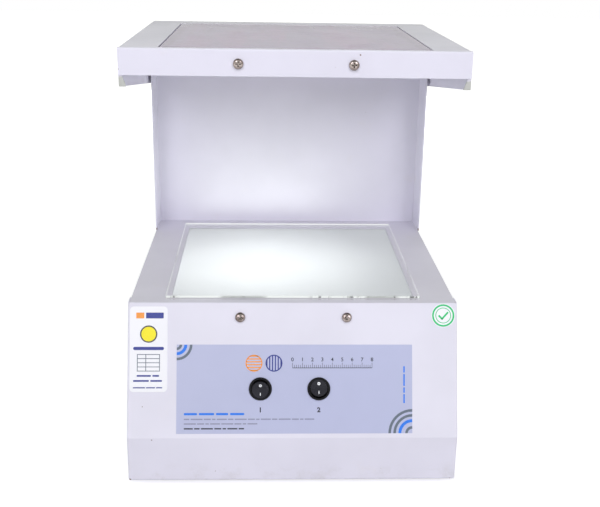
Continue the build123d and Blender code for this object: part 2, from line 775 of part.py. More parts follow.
# Head: top plate, tapered cheeks and back wall folded from one sheet
fascia_bottom_z = head_top_z - fascia_height
cheek_front_z = head_top_z - cheek_front_drop
with BuildPart() as head_shell:
    with BuildSketch(Plane.YZ):
        with BuildLine():
            Polyline(
                (fascia_back_y, head_under_z - bend_radius),
                (fascia_back_y + bend_radius, head_under_z),
                (shell_front_y, head_under_z),
                (shell_front_y, head_top_z),
                (head_back_y, head_top_z),
                (head_back_y, head_top_z - cheek_back_drop),
                (fascia_back_y, cheek_front_z),
                close=True,
            )
        make_face()
    extrude(amount=head_half, both=True)
    top_face = head_shell.faces().sort_by(Axis.Z)[-1]
    back_face = head_shell.faces().sort_by(Axis.Y)[-1]
    fillet(top_face.edges().filter_by(Axis.Y) + back_face.edges().filter_by(Axis.Z), bend_radius)
    with BuildSketch(Plane.XY.offset(head_under_z)):
        with Locations((0, fascia_back_y)):
            Rectangle(2 * cheek_inner, 2 * (head_back_y - sheet - fascia_back_y))
    extrude(amount=-2 * cheek_back_drop, mode=Mode.SUBTRACT)
    with BuildSketch(Plane.XY.offset(head_top_z)):
        with Locations((0, shell_front_y)):
            Rectangle(2 * head_window_half, 2 * (window_back_y - shell_front_y))
    extrude(amount=-2 * sheet, mode=Mode.SUBTRACT)
    with BuildSketch(Plane.XZ.offset(-fascia_back_y)):
        with BuildLine():
            Polyline(
                (cheek_inner, head_under_z - bend_radius),
                (cheek_inner - cheek_lip_neck, head_under_z - bend_radius),
                (cheek_inner - cheek_lip_neck, fascia_bottom_z),
                (cheek_inner - cheek_lip_width, cheek_front_z),
                (cheek_inner, cheek_front_z),
                close=True,
            )
        make_face()
        mirror(about=Plane.YZ)
    extrude(amount=-sheet)
    with BuildSketch(Plane.YZ):
        with Locations(*[(row, head_bolt_z) for row in head_bolt_rows]):
            Circle(m5_radius + clearance_hole)
    extrude(amount=2 * head_half, both=True, mode=Mode.SUBTRACT)
    with BuildSketch(Plane.XZ.offset(-head_back_y)):
        with Locations((0, back_screw_z)):
            with GridLocations(back_screw_spacing, 0, 2, 1):
                Circle(m4_radius + clearance_hole)
    extrude(amount=2 * sheet, mode=Mode.SUBTRACT)
finish(head_shell, "head_shell")

fascia_screw_z = head_top_z - fascia_screw_drop
with BuildPart() as head_fascia:
    with BuildSketch(Plane.YZ):
        add(
            folded_sheet(
                (head_front_y + fascia_lip, head_top_z),
                (head_front_y, head_top_z),
                (head_front_y, fascia_bottom_z),
            )
        )
    extrude(amount=head_half, both=True)
    with BuildSketch(Plane.XZ.offset(-head_front_y)):
        with Locations((0, fascia_screw_z)):
            with GridLocations(fascia_screw_spacing, 0, 2, 1):
                Circle(m5_radius + clearance_hole)
    extrude(amount=-2 * sheet, mode=Mode.SUBTRACT)
finish(head_fascia, "head_fascia")

bar_half = cheek_inner - cheek_lip_neck - slip_gap
with BuildPart() as head_front_bar:
    with BuildSketch(Plane.YZ):
        add(
            folded_sheet(
                (fascia_back_y + front_bar_depth, rail_z),
                (fascia_back_y, rail_z),
                (fascia_back_y, fascia_bottom_z + front_bar_lift),
            )
        )
    extrude(amount=bar_half, both=True)
    with BuildSketch(Plane.XZ.offset(-head_front_y)):
        with Locations((0, fascia_screw_z)):
            with GridLocations(fascia_screw_spacing, 0, 2, 1):
                Circle(m5_radius + clearance_hole)
    extrude(amount=-4 * sheet, mode=Mode.SUBTRACT)
finish(head_front_bar, "head_front_bar")

with BuildPart(Plane.XZ.offset(-head_front_y)) as fascia_screws:
    with Locations((-fascia_screw_spacing / 2, fascia_screw_z), (fascia_screw_spacing / 2, fascia_screw_z)):
        add(m5_screw)
finish(fascia_screws, "fascia_screws")

with BuildPart(Plane.XZ.offset(-fascia_back_y - sheet)) as fascia_nuts:
    with Locations((-fascia_screw_spacing / 2, fascia_screw_z), (fascia_screw_spacing / 2, fascia_screw_z)):
        add(m5_nut)
finish(fascia_nuts, "fascia_nuts")

# Analyser sheet and the rails that carry its edges
with BuildPart() as analyser_sheet:
    with BuildSketch(Plane.XY.offset(rail_z)):
        with Locations((0, analyser_centre_y)):
            Rectangle(analyser_width, analyser_length)
    extrude(amount=analyser_thickness)
    chamfer(analyser_sheet.faces().sort_by(Axis.Z)[-1].edges(), analyser_bevel)
finish(analyser_sheet, "analyser_sheet")

rail_front_y = fascia_back_y + front_bar_depth + slip_gap
rail_inner_x = analyser_width / 2 - rail_ledge
with BuildPart() as analyser_rails:
    with BuildSketch(Plane.XZ.offset(-rail_front_y)):
        with BuildLine():
            Polyline(
                (rail_inner_x, rail_z),
                (head_window_half, rail_z),
                (head_window_half, head_under_z),
                (head_window_half + sheet, head_under_z),
                (head_window_half + sheet, rail_z - sheet),
                (rail_inner_x, rail_z - sheet),
                close=True,
            )
        make_face()
        mirror(about=Plane.YZ)
    extrude(amount=rail_front_y - window_back_y)
    with BuildSketch(Plane.YZ):
        with BuildLine():
            Polyline(
                (window_back_y, rail_z),
                (window_back_y, head_under_z),
                (window_back_y + sheet, head_under_z),
                (window_back_y + sheet, rail_z - sheet),
                (window_back_y - rail_ledge, rail_z - sheet),
                (window_back_y - rail_ledge, rail_z),
                close=True,
            )
        make_face()
    extrude(amount=rail_inner_x - slip_gap, both=True)
finish(analyser_rails, "analyser_rails")

# Bolts that hold the head on the column
right_cheek = Plane(origin=(head_half, 0, 0), x_dir=(0, 1, 0), z_dir=(1, 0, 0))
left_cheek = Plane(origin=(-head_half, 0, 0), x_dir=(0, -1, 0), z_dir=(-1, 0, 0))
with BuildPart() as head_bolts:
    for cheek, hand in ((right_cheek, 1), (left_cheek, -1)):
        with Locations(*[cheek * Pos(hand * row, head_bolt_z, 0) for row in head_bolt_rows]):
            add(m5_screw)
finish(head_bolts, "head_bolts")

with BuildPart() as head_spacers:
    with BuildSketch(Plane.YZ.offset(cabinet_half)):
        with Locations(*[(row, head_bolt_z) for row in head_bolt_rows]):
            Circle(head_spacer_radius)
            Circle(m5_radius, mode=Mode.SUBTRACT)
    extrude(amount=cheek_inner - cabinet_half)
    mirror(about=Plane.YZ)
finish(head_spacers, "head_spacers")

with BuildPart() as head_nuts:
    for cheek, hand in ((right_cheek, 1), (left_cheek, -1)):
        inside = cheek.offset(cabinet_half - sheet - head_half)
        with Locations(*[inside * Pos(hand * row, head_bolt_z, 0) for row in head_bolt_rows]):
            add(m5_nut)
finish(head_nuts, "head_nuts")

back_plane = Plane(origin=(0, head_back_y, 0), x_dir=(-1, 0, 0), z_dir=(0, 1, 0))
with BuildPart(back_plane) as head_back_screws:
    with Locations((-back_screw_spacing / 2, back_screw_z), (back_screw_spacing / 2, back_screw_z)):
        add(m4_screw)
finish(head_back_screws, "head_back_screws")

# Feet and the screws that hold the pan
with BuildPart() as rubber_feet:
    with BuildSketch(Plane.XY.offset(pan_z)):
        with Locations(*foot_places):
            Circle(foot_radius)
    extrude(amount=-pan_z, taper=foot_taper)
    with BuildSketch():
        with Locations(*foot_places):
            Circle(m4_head_radius + slip_gap)
    extrude(amount=m4_head_height + slip_gap, mode=Mode.SUBTRACT)
    with BuildSketch():
        with Locations(*foot_places):
            Circle(m4_radius + clearance_hole)
    extrude(amount=pan_z, mode=Mode.SUBTRACT)
finish(rubber_feet, "rubber_feet")

foot_screw_plane = Plane(origin=(0, 0, m4_head_height + slip_gap), x_dir=(1, 0, 0), z_dir=(0, 0, -1))
with BuildPart(foot_screw_plane) as foot_screws:
    with Locations(*[(x, -y) for x, y in foot_places]):
        add(m4_screw)
finish(foot_screws, "foot_screws")

right_wall = Plane(origin=(cabinet_half, 0, 0), x_dir=(0, 1, 0), z_dir=(1, 0, 0))
left_wall = Plane(origin=(-cabinet_half, 0, 0), x_dir=(0, -1, 0), z_dir=(-1, 0, 0))
back_wall = Plane(origin=(0, back_y, 0), x_dir=(-1, 0, 0), z_dir=(0, 1, 0))
with BuildPart() as pan_screws:
    for wall in (right_wall, left_wall, back_wall):
        with Locations(*[wall * Pos(side * pan_screw_spacing / 2, pan_screw_z, 0) for side in (-1, 1)]):
            add(m4_screw)
finish(pan_screws, "pan_screws")

# Fluorescent lamp: twin glass tubes with a bridge, cap, holder and clip
lamp_floor_z = tray_floor_z + sheet
tube_y = glass_centre_y + tube_offset
tube_z = lamp_floor_z + tube_height
tube_spacing = 2 * tube_radius + tube_gap
tube_cap_width = tube_spacing + 2 * (tube_radius + tube_cap_side)
tube_cap_height = 2 * (tube_radius + tube_cap_over)
cap_start_x = tube_end_gap + tube_holder_length - tray_floor_half
tube_start_x = cap_start_x + tube_cap_length
tube_end_x = tray_floor_half - tube_end_gap
with BuildPart() as fluorescent_tube:
    for side in (-1, 1):
        with BuildSketch(Plane(origin=(0, tube_y + side * tube_spacing / 2, tube_z))) as half_tube:
            with BuildLine():
                Polyline(
                    (tube_end_x, 0),
                    (tube_start_x, 0),
                    (tube_start_x, tube_radius),
                    (tube_end_x - tube_radius, tube_radius),
                )
                RadiusArc((tube_end_x - tube_radius, tube_radius), (tube_end_x, 0), tube_radius)
            make_face()
        revolve(axis=Axis((0, tube_y + side * tube_spacing / 2, tube_z), (1, 0, 0)))
    with BuildSketch(Plane.XZ.offset(-tube_y)):
        with Locations((tube_end_x - 2 * tube_radius, tube_z)):
            Circle(tube_radius / 2)
    extrude(amount=tube_spacing / 2, both=True)
finish(fluorescent_tube, "fluorescent_tube")

with BuildPart() as fluorescent_cap:
    with BuildSketch(Plane.YZ.offset(cap_start_x)):
        with Locations((tube_y, tube_z)):
            RectangleRounded(tube_cap_width, tube_cap_height, tube_cap_height / 4)
    extrude(amount=tube_cap_length)
finish(fluorescent_cap, "fluorescent_cap")

with BuildPart() as fluorescent_holder:
    with BuildSketch(Plane.YZ.offset(cap_start_x)):
        with Locations((tube_y, lamp_floor_z)):
            Rectangle(tube_cap_width + 2 * sheet, tube_height + tube_cap_height / 2 + sheet, align=TOP_ALIGN)
    extrude(amount=-tube_holder_length)
    fillet(fluorescent_holder.edges().filter_by(Axis.X).group_by(Axis.Z)[-1], bend_radius)
finish(fluorescent_holder, "fluorescent_holder")

with BuildPart() as fluorescent_clip:
    with BuildSketch(Plane.YZ.offset(tube_end_x - 4 * tube_radius - tube_clip_width)):
        with Locations((tube_y, lamp_floor_z)):
            Rectangle(tube_spacing + 2 * tube_radius + 2 * sheet, tube_height + tube_radius / 2, align=TOP_ALIGN)
        with Locations((tube_y, lamp_floor_z + sheet)):
            Rectangle(tube_spacing, tube_height * 2, align=TOP_ALIGN, mode=Mode.SUBTRACT)
        with Locations((tube_y - tube_spacing / 2, tube_z), (tube_y + tube_spacing / 2, tube_z)):
            Circle(tube_radius, mode=Mode.SUBTRACT)
    extrude(amount=tube_clip_width / 2, both=True)
finish(fluorescent_clip, "fluorescent_clip")

# Sodium lamp: glass bulb round a bent arc tube, with a bayonet cap in its holder
sodium_y = glass_centre_y + sodium_offset
sodium_height = sodium_radius + sodium_floor_gap
sodium_z = lamp_floor_z + sodium_height
neck_x = sodium_end_gap + sodium_holder_length - tray_floor_half
shoulder_x = neck_x + sodium_radius
sodium_end_x = tray_floor_half - sodium_end_gap
arc_half_gap = sodium_arc_gap / 2 + sodium_arc_radius
sodium_plane = Plane(origin=(0, sodium_y, sodium_z))


def bulb_profile(wall):
    """Make half of the bulb's section, drawn inside its outer skin by the wall given."""
    radius = sodium_radius - wall
    neck = sodium_cap_radius - wall
    dome_x = sodium_end_x - sodium_radius
    with BuildSketch() as section:
        with BuildLine():
            Line((neck_x, 0), (neck_x, neck))
            Spline((neck_x, neck), (shoulder_x, radius), tangents=((1, 0), (1, 0)))
            Line((shoulder_x, radius), (dome_x, radius))
            RadiusArc((dome_x, radius), (dome_x + radius, 0), radius)
            Line((dome_x + radius, 0), (neck_x, 0))
        make_face()
    return section.sketch


with BuildPart() as sodium_bulb:
    with BuildSketch(sodium_plane):
        add(bulb_profile(0))
        add(bulb_profile(sodium_wall), mode=Mode.SUBTRACT)
    revolve(axis=Axis((0, sodium_y, sodium_z), (1, 0, 0)))
finish(sodium_bulb, "sodium_bulb")

arc_turn_x = sodium_end_x - sodium_arc_end_gap - sodium_arc_radius - arc_half_gap
with BuildPart() as sodium_arc_tube:
    with BuildLine(sodium_plane) as arc_path:
        near_leg = Line((shoulder_x, -arc_half_gap), (arc_turn_x, -arc_half_gap))
        turn = TangentArc(near_leg @ 1, (arc_turn_x, arc_half_gap), tangent=near_leg % 1)
        Line(turn @ 1, (shoulder_x, arc_half_gap))
    with BuildSketch(Plane(origin=arc_path.line @ 0, z_dir=arc_path.line % 0)):
        Circle(sodium_arc_radius)
    sweep()
    with BuildSketch(Plane.YZ.offset(neck_x + slip_gap)):
        with Locations((sodium_y, sodium_z)):
            SlotCenterToCenter(sodium_arc_radius, sodium_arc_radius)
    extrude(amount=sodium_radius)
finish(sodium_arc_tube, "sodium_arc_tube")

with BuildPart() as sodium_cap:
    with BuildSketch(Plane.YZ.offset(neck_x)):
        with Locations((sodium_y, sodium_z)):
            Circle(sodium_cap_radius)
    extrude(amount=-sodium_cap_length)
    with BuildSketch(Plane.XZ.offset(-sodium_y)):
        with Locations((neck_x - sodium_cap_length / 2, sodium_z)):
            Circle(m4_radius / 2)
    extrude(amount=sodium_cap_radius + m4_radius, both=True)
finish(sodium_cap, "sodium_cap")

holder_bore = sodium_cap_radius + m4_radius + slip_gap
holder_radius = holder_bore + sodium_holder_wall
with BuildPart() as sodium_holder:
    with BuildSketch(Plane.YZ.offset(neck_x)):
        with Locations((sodium_y, sodium_z)):
            Circle(holder_radius)
    extrude(amount=-sodium_holder_length)
    with BuildSketch(Plane.YZ.offset(neck_x)):
        with Locations((sodium_y, sodium_z)):
            Circle(holder_bore)
    extrude(amount=-sodium_cap_length - slip_gap, mode=Mode.SUBTRACT)
    with BuildSketch(Plane.YZ.offset(neck_x - sodium_holder_length)):
        with Locations((sodium_y, lamp_floor_z)):
            Rectangle(holder_radius, sodium_height - holder_radius + sheet, align=TOP_ALIGN)
    extrude(amount=sodium_holder_length)
finish(sodium_holder, "sodium_holder")

with BuildPart() as sodium_saddle:
    with BuildSketch(Plane.YZ.offset(sodium_end_x - 2 * sodium_radius)):
        with Locations((sodium_y, lamp_floor_z)):
            Rectangle(sodium_radius, sodium_height, align=TOP_ALIGN)
        with Locations((sodium_y, sodium_z)):
            Circle(sodium_radius, mode=Mode.SUBTRACT)
    extrude(amount=tube_clip_width / 2, both=True)
finish(sodium_saddle, "sodium_saddle")

# Control gear on the floor pan
choke_window_height = choke_height / 2
choke_window_z = floor_z + gear_foot_thickness + choke_window_height
choke_body = choke_length - 2 * gear_foot
choke_limb = choke_body / 8
with BuildPart() as choke_core:
    with BuildSketch(Plane.XY.offset(floor_z)):
        with Locations((choke_x, choke_y)):
            Rectangle(choke_length, choke_width)
    extrude(amount=gear_foot_thickness)
    with BuildSketch(Plane.XY.offset(floor_z + gear_foot_thickness)):
        with Locations((choke_x, choke_y)):
            Rectangle(choke_body, choke_width)
    extrude(amount=choke_height - gear_foot_thickness)
    with BuildSketch(Plane.XZ.offset(-choke_y)):
        with Locations((choke_x, choke_window_z)):
            with GridLocations(2 * choke_limb + choke_window, 0, 2, 1):
                Rectangle(choke_window, choke_window_height)
    extrude(amount=choke_width, both=True, mode=Mode.SUBTRACT)
    with BuildSketch(Plane.XY.offset(floor_z)):
        with Locations(*gear_screw_places[:2]):
            Circle(m4_radius + clearance_hole)
    extrude(amount=gear_foot_thickness, mode=Mode.SUBTRACT)
finish(choke_core, "choke_core")

with BuildPart() as choke_coil:
    with BuildSketch(Plane.XY.offset(choke_window_z - choke_window_height / 2)):
        with Locations((choke_x, choke_y)):
            Rectangle(2 * choke_limb + 2 * choke_window - slip_gap, choke_width + 2 * choke_window)
            Rectangle(2 * choke_limb + slip_gap, choke_width + slip_gap, mode=Mode.SUBTRACT)
    extrude(amount=choke_window_height - slip_gap)
finish(choke_coil, "choke_coil")

with BuildPart() as fluorescent_ballast:
    with BuildSketch(Plane.XY.offset(floor_z)):
        with Locations((ballast_x, ballast_y)):
            Rectangle(ballast_length, ballast_width)
    extrude(amount=gear_foot_thickness)
    with BuildSketch(Plane.XY.offset(floor_z + gear_foot_thickness)):
        with Locations((ballast_x, ballast_y)):
            Rectangle(ballast_length - 2 * gear_foot, ballast_width)
    extrude(amount=ballast_height - gear_foot_thickness)
    top_face = fluorescent_ballast.faces().sort_by(Axis.Z)[-1]
    fillet(top_face.edges().filter_by(Axis.X), bend_radius)
    with BuildSketch(Plane.XY.offset(floor_z)):
        with Locations(*gear_screw_places[2:]):
            Circle(m4_radius + clearance_hole)
    extrude(amount=gear_foot_thickness, mode=Mode.SUBTRACT)
finish(fluorescent_ballast, "fluorescent_ballast")

with BuildPart(Plane.XY.offset(floor_z + gear_foot_thickness)) as gear_screws:
    with Locations(*gear_screw_places):
        add(m4_screw)
finish(gear_screws, "gear_screws")

with BuildPart() as ignitor_can:
    with BuildSketch(Plane.XY.offset(floor_z)):
        with Locations((ignitor_x, ignitor_y)):
            Circle(ignitor_radius)
    extrude(amount=tray_floor_z - gear_headroom - floor_z)
    fillet(ignitor_can.edges().group_by(Axis.Z)[-1], bend_radius)
finish(ignitor_can, "ignitor_can")

with BuildPart() as terminal_block:
    with BuildSketch(Plane.XY.offset(floor_z)):
        with Locations((terminal_x, terminal_y)):
            Rectangle(terminal_width, terminal_spacing * terminal_count)
    extrude(amount=terminal_height / 2)
    with BuildSketch(Plane.XY.offset(floor_z + terminal_height / 2)):
        with Locations((terminal_x, terminal_y)):
            with GridLocations(0, terminal_spacing, 1, terminal_count):
                Rectangle(terminal_width - 2 * sheet, terminal_spacing - 2 * sheet)
    extrude(amount=terminal_height / 2)
    with BuildSketch(Plane.YZ.offset(terminal_x)):
        with Locations((terminal_y, floor_z + terminal_height / 2)):
            with GridLocations(terminal_spacing, 0, terminal_count, 1):
                Circle(m4_radius)
    extrude(amount=terminal_width, both=True, mode=Mode.SUBTRACT)
finish(terminal_block, "terminal_block")

# Earth stud: a threaded stud on a hexagon collar, riveted to the pan
with BuildPart() as earth_stud:
    with BuildSketch(Plane.XY.offset(floor_z)):
        with Locations((earth_x, back_y - earth_back_gap)):
            RegularPolygon(2 * m4_radius, 6)
    extrude(amount=m4_head_height)
    with BuildSketch(Plane.XY.offset(floor_z + m4_head_height)):
        with Locations((earth_x, back_y - earth_back_gap)):
            Circle(m4_radius)
    extrude(amount=earth_length)
finish(earth_stud, "earth_stud")

# Mains inlet: moulded body in the back wall, three blades, two screws and their nuts
inlet_plane = Plane(origin=(inlet_x, back_y, base_z + inlet_height), x_dir=(-1, 0, 0), z_dir=(0, 1, 0))
inlet_face = inlet_plane.offset(inlet_flange_thickness)
socket_floor = inlet_face.offset(-inlet_socket_depth)
with BuildPart() as mains_inlet:
    with BuildSketch(inlet_plane):
        RectangleRounded(
            2 * (inlet_screw_x + inlet_flange_ear),
            inlet_body_height + 2 * inlet_flange_lip,
            inlet_corner,
        )
        with GridLocations(2 * inlet_screw_x, 0, 2, 1):
            Circle(m3_radius + clearance_hole, mode=Mode.SUBTRACT)
    extrude(amount=inlet_flange_thickness)
    with BuildSketch(inlet_plane):
        Rectangle(inlet_body_width, inlet_body_height)
    extrude(amount=inlet_flange_thickness - inlet_socket_depth - inlet_floor)
    with BuildSketch(inlet_face):
        with BuildLine():
            half_width = inlet_socket_width / 2
            half_height = inlet_socket_height / 2
            Polyline(
                (-half_width, -half_height),
                (half_width, -half_height),
                (half_width, half_height - inlet_socket_chamfer),
                (half_width - inlet_socket_chamfer, half_height),
                (inlet_socket_chamfer - half_width, half_height),
                (-half_width, half_height - inlet_socket_chamfer),
                close=True,
            )
        make_face()
    extrude(amount=-inlet_socket_depth, mode=Mode.SUBTRACT)
    with BuildSketch(socket_floor):
        with Locations(*pin_places):
            Rectangle(pin_width, pin_height)
    extrude(amount=-inlet_floor, mode=Mode.SUBTRACT)
finish(mains_inlet, "mains_inlet")

with BuildPart() as inlet_pins:
    with BuildSketch(inlet_face.offset(-pin_setback)):
        with Locations(*pin_places):
            Rectangle(pin_width, pin_height)
    extrude(amount=pin_setback - inlet_socket_depth - inlet_floor - tab_length)
finish(inlet_pins, "inlet_pins")

inlet_screw_places = [(side * inlet_screw_x, 0) for side in (-1, 1)]
with BuildPart(inlet_face) as inlet_screws:
    with Locations(*inlet_screw_places):
        add(m3_screw)
finish(inlet_screws, "inlet_screws")

with BuildPart(inlet_plane.offset(-sheet)) as inlet_nuts:
    with Locations(*inlet_screw_places):
        add(m3_nut)
finish(inlet_nuts, "inlet_nuts")

print(len(made), "sub-parts written")
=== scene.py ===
# %% [markdown]
# A bench polariscope, dressed for its picture.
# The instrument is a folded sheet metal cabinet with a lit glass stage on top, a column behind the
# stage and a head that hangs over it and holds the upper polarising sheet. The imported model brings
# every rigid piece in its place, in metres, with +Z up and the front towards -Y. This script gives
# each piece its finish, adds the printed marks, and sets the floor, the lights and the camera.

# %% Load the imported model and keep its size
import json
from math import atan2, cos, hypot, pi, radians, sin

import bmesh
import bpy
from mathutils import Matrix, Vector


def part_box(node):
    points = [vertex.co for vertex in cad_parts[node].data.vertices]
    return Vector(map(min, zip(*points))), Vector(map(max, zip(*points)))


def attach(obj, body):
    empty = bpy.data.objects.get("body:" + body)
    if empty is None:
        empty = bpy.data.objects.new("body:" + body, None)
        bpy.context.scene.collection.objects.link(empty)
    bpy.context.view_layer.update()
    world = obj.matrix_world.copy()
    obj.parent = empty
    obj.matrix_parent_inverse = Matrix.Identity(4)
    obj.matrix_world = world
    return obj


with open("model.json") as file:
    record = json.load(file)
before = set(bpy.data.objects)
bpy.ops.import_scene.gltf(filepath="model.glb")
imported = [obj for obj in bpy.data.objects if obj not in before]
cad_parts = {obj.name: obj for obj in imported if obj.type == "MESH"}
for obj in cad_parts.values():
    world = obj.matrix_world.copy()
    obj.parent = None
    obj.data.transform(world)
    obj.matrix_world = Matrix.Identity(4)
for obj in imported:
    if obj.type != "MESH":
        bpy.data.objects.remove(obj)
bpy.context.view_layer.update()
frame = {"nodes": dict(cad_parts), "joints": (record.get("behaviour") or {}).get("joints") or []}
nodes = frame["nodes"]
scene = bpy.context.scene
scene.view_settings.view_transform = "Standard"

# %% [markdown]
# The camera stands about a metre in front, a little above the head, and looks down by 18.5 degrees.
# A camera can be placed by eye, or solved from points whose real places are known. Here it was solved
# from the corners of the cabinet, the head and the label, so the object fills the frame as it does in
# the photograph. The camera's axes are built from a turn, a tilt and a small roll.

# %% Camera
camera_place = Vector((-0.02967, -1.0152, 0.52563))
camera_turn = radians(-2.3)
camera_tilt = radians(18.51)
camera_roll = radians(0.96)
camera_lens = 56.33
sensor_width = 36.0

level_right = Vector((cos(camera_turn), sin(camera_turn), 0))
level_ahead = Vector((-sin(camera_turn), cos(camera_turn), 0))
ahead = level_ahead * cos(camera_tilt) - Vector((0, 0, sin(camera_tilt)))
up = level_ahead * sin(camera_tilt) + Vector((0, 0, cos(camera_tilt)))
rolled_right = level_right * cos(camera_roll) + up * sin(camera_roll)
rolled_up = up * cos(camera_roll) - level_right * sin(camera_roll)
camera_axes = Matrix((rolled_right, rolled_up, -ahead)).transposed()

camera_data = bpy.data.cameras.new("camera")
camera_data.sensor_fit = "HORIZONTAL"
camera_data.sensor_width = sensor_width
camera_data.lens = camera_lens
camera = bpy.data.objects.new("camera", camera_data)
camera.matrix_world = Matrix.Translation(camera_place) @ camera_axes.to_4x4()
scene.collection.objects.link(camera)
scene.camera = camera
print("camera at", tuple(round(v, 3) for v in camera_place))

# %% [markdown]
# The studio is plain: a white surround and a pale floor. A white picture background could be made by
# strong lamps, but that would bleach the object. Instead the surround is white only for the camera,
# for reflections and for what is seen through glass, and gives a weaker, even light to everything
# else. Overhead it fades to a grey ceiling, so that a domed screw head has something dark to reflect.

# %% White surround
surround_light = 0.315
surround_tone = (0.940, 1.0, 0.76, 1.0)
fade_start = 0.65
fade_end = 0.92
ceiling_level = 0.25


def add_fade(tree, source, low, high, at_low, at_high, kind="LINEAR"):
    """Turn a range of a value into another range, held at both ends, and give the result."""
    fade = tree.nodes.new("ShaderNodeMapRange")
    fade.interpolation_type = kind
    for socket, value in (("From Min", low), ("From Max", high), ("To Min", at_low), ("To Max", at_high)):
        fade.inputs[socket].default_value = value
    tree.links.new(source, fade.inputs["Value"])
    return fade.outputs["Result"]


surround = bpy.data.worlds.new("surround")
surround.use_nodes = True
scene.world = surround
sky = surround.node_tree
sky.nodes.clear()
sky_output = sky.nodes.new("ShaderNodeOutputWorld")
sky_mix = sky.nodes.new("ShaderNodeMixShader")
sky_lighting = sky.nodes.new("ShaderNodeBackground")
sky_lighting.inputs["Color"].default_value = surround_tone
sky_lighting.inputs["Strength"].default_value = surround_light
sky_seen = sky.nodes.new("ShaderNodeBackground")
sky_seen.inputs["Color"].default_value = (1.0, 1.0, 1.0, 1.0)
sky_direction = sky.nodes.new("ShaderNodeSeparateXYZ")
sky.links.new(sky.nodes.new("ShaderNodeTexCoord").outputs["Generated"], sky_direction.inputs[0])
sky_level = add_fade(sky, sky_direction.outputs["Z"], fade_start, fade_end, 1.0, ceiling_level)
sky.links.new(sky_level, sky_seen.inputs["Strength"])


def add_seen_rays(tree, kinds):
    """Give a value that is 1 for the kinds of ray named and 0 for light that bounces."""
    path = tree.nodes.new("ShaderNodeLightPath")
    value = path.outputs[kinds[0]]
    for kind in kinds[1:]:
        larger = tree.nodes.new("ShaderNodeMath")
        larger.operation = "MAXIMUM"
        tree.links.new(value, larger.inputs[0])
        tree.links.new(path.outputs[kind], larger.inputs[1])
        value = larger.outputs[0]
    return value


seen = add_seen_rays(sky, ("Is Camera Ray", "Is Glossy Ray", "Is Transmission Ray"))
sky.links.new(seen, sky_mix.inputs["Fac"])
sky.links.new(sky_lighting.outputs["Background"], sky_mix.inputs[1])
sky.links.new(sky_seen.outputs["Background"], sky_mix.inputs[2])
sky.links.new(sky_mix.outputs["Shader"], sky_output.inputs["Surface"])
print("surround light:", surround_light)

# %% [markdown]
# Soft boxes are area lamps, and their size sets how soft a shadow is. Two main ones stand behind the
# camera, to its left and right, and a wide one hangs above it, so the front faces are the brightest
# and the level faces a step darker, as in the photograph. The two main ones throw the soft shadows of
# the column's flanges. Three more light the sides and the back, and a small one just above the stage
# stands for the light that the stage throws on the column and under the head.

# %% Soft boxes
cool_white = (0.910, 0.895, 1.0)
side_white = (0.950, 0.970, 1.0)
stage_white = (0.950, 1.0, 0.880)
front_target = (0.0, 0.0, 0.25)
side_target = (0.0, 0.0, 0.20)
glow_lift = 0.0015


def add_soft_box(name, tone, place, target, size, power, reflected=False):
    """Hang a soft box at a place, turned to a target. Only a reflected one shows in gloss."""
    lamp = bpy.data.lights.new(name, "AREA")
    lamp.shape = "RECTANGLE"
    lamp.size, lamp.size_y = size
    lamp.energy = power
    lamp.color = tone
    holder = bpy.data.objects.new(name, lamp)
    holder.location = place
    direction = Vector(target) - Vector(place)
    holder.rotation_euler = direction.to_track_quat("-Z", "Y").to_euler()
    holder.visible_camera = False
    holder.visible_glossy = reflected
    scene.collection.objects.link(holder)
    print(name, "power", power)


add_soft_box("left_key", cool_white, (-0.80, -1.95, 1.18), front_target, (0.8, 0.8), 11.6, reflected=True)
add_soft_box("right_key", cool_white, (1.08, -1.90, 1.18), front_target, (1.0, 0.8), 13.2, reflected=True)
add_soft_box("top_box", cool_white, (0.05, -1.65, 1.90), front_target, (1.4, 0.9), 16.8)
add_soft_box("left_box", side_white, (-2.2, 0.3, 0.6), side_target, (1.2, 1.2), 11.0)
add_soft_box("right_box", side_white, (2.2, 0.3, 0.6), side_target, (1.2, 1.2), 10.0)
add_soft_box("back_box", side_white, (0.2, 2.3, 0.5), side_target, (1.4, 1.0), 15.0)
glow_low, glow_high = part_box("stage_glass")
glow_x = glow_low.x * 0.25
glow_y = glow_high.y * 0.40
glow_z = glow_high.z + glow_lift
add_soft_box("stage_glow", stage_white, (glow_x, glow_y, glow_z), (glow_x, glow_y, 1.0), (0.17, 0.15), 0.115)

# %% [markdown]
# The floor is a plain sheet under the feet. A grid is enough, since nothing on it is seen. Its
# material adds a little glow for the camera alone, and more of it far away where the lamps don't
# reach, so the floor comes out as white as the surround while the object's shadow stays.

# %% Floor
floor_half = 6.0
floor_tone = (0.63, 0.62, 0.67, 1.0)
floor_glow = 0.62
glow_near = 0.5
glow_far = 2.5

floor_mesh = bmesh.new()
bmesh.ops.create_grid(floor_mesh, x_segments=1, y_segments=1, size=floor_half)
floor_data = bpy.data.meshes.new("floor")
floor_mesh.to_mesh(floor_data)
floor_mesh.free()
floor = bpy.data.objects.new("floor", floor_data)
scene.collection.objects.link(floor)

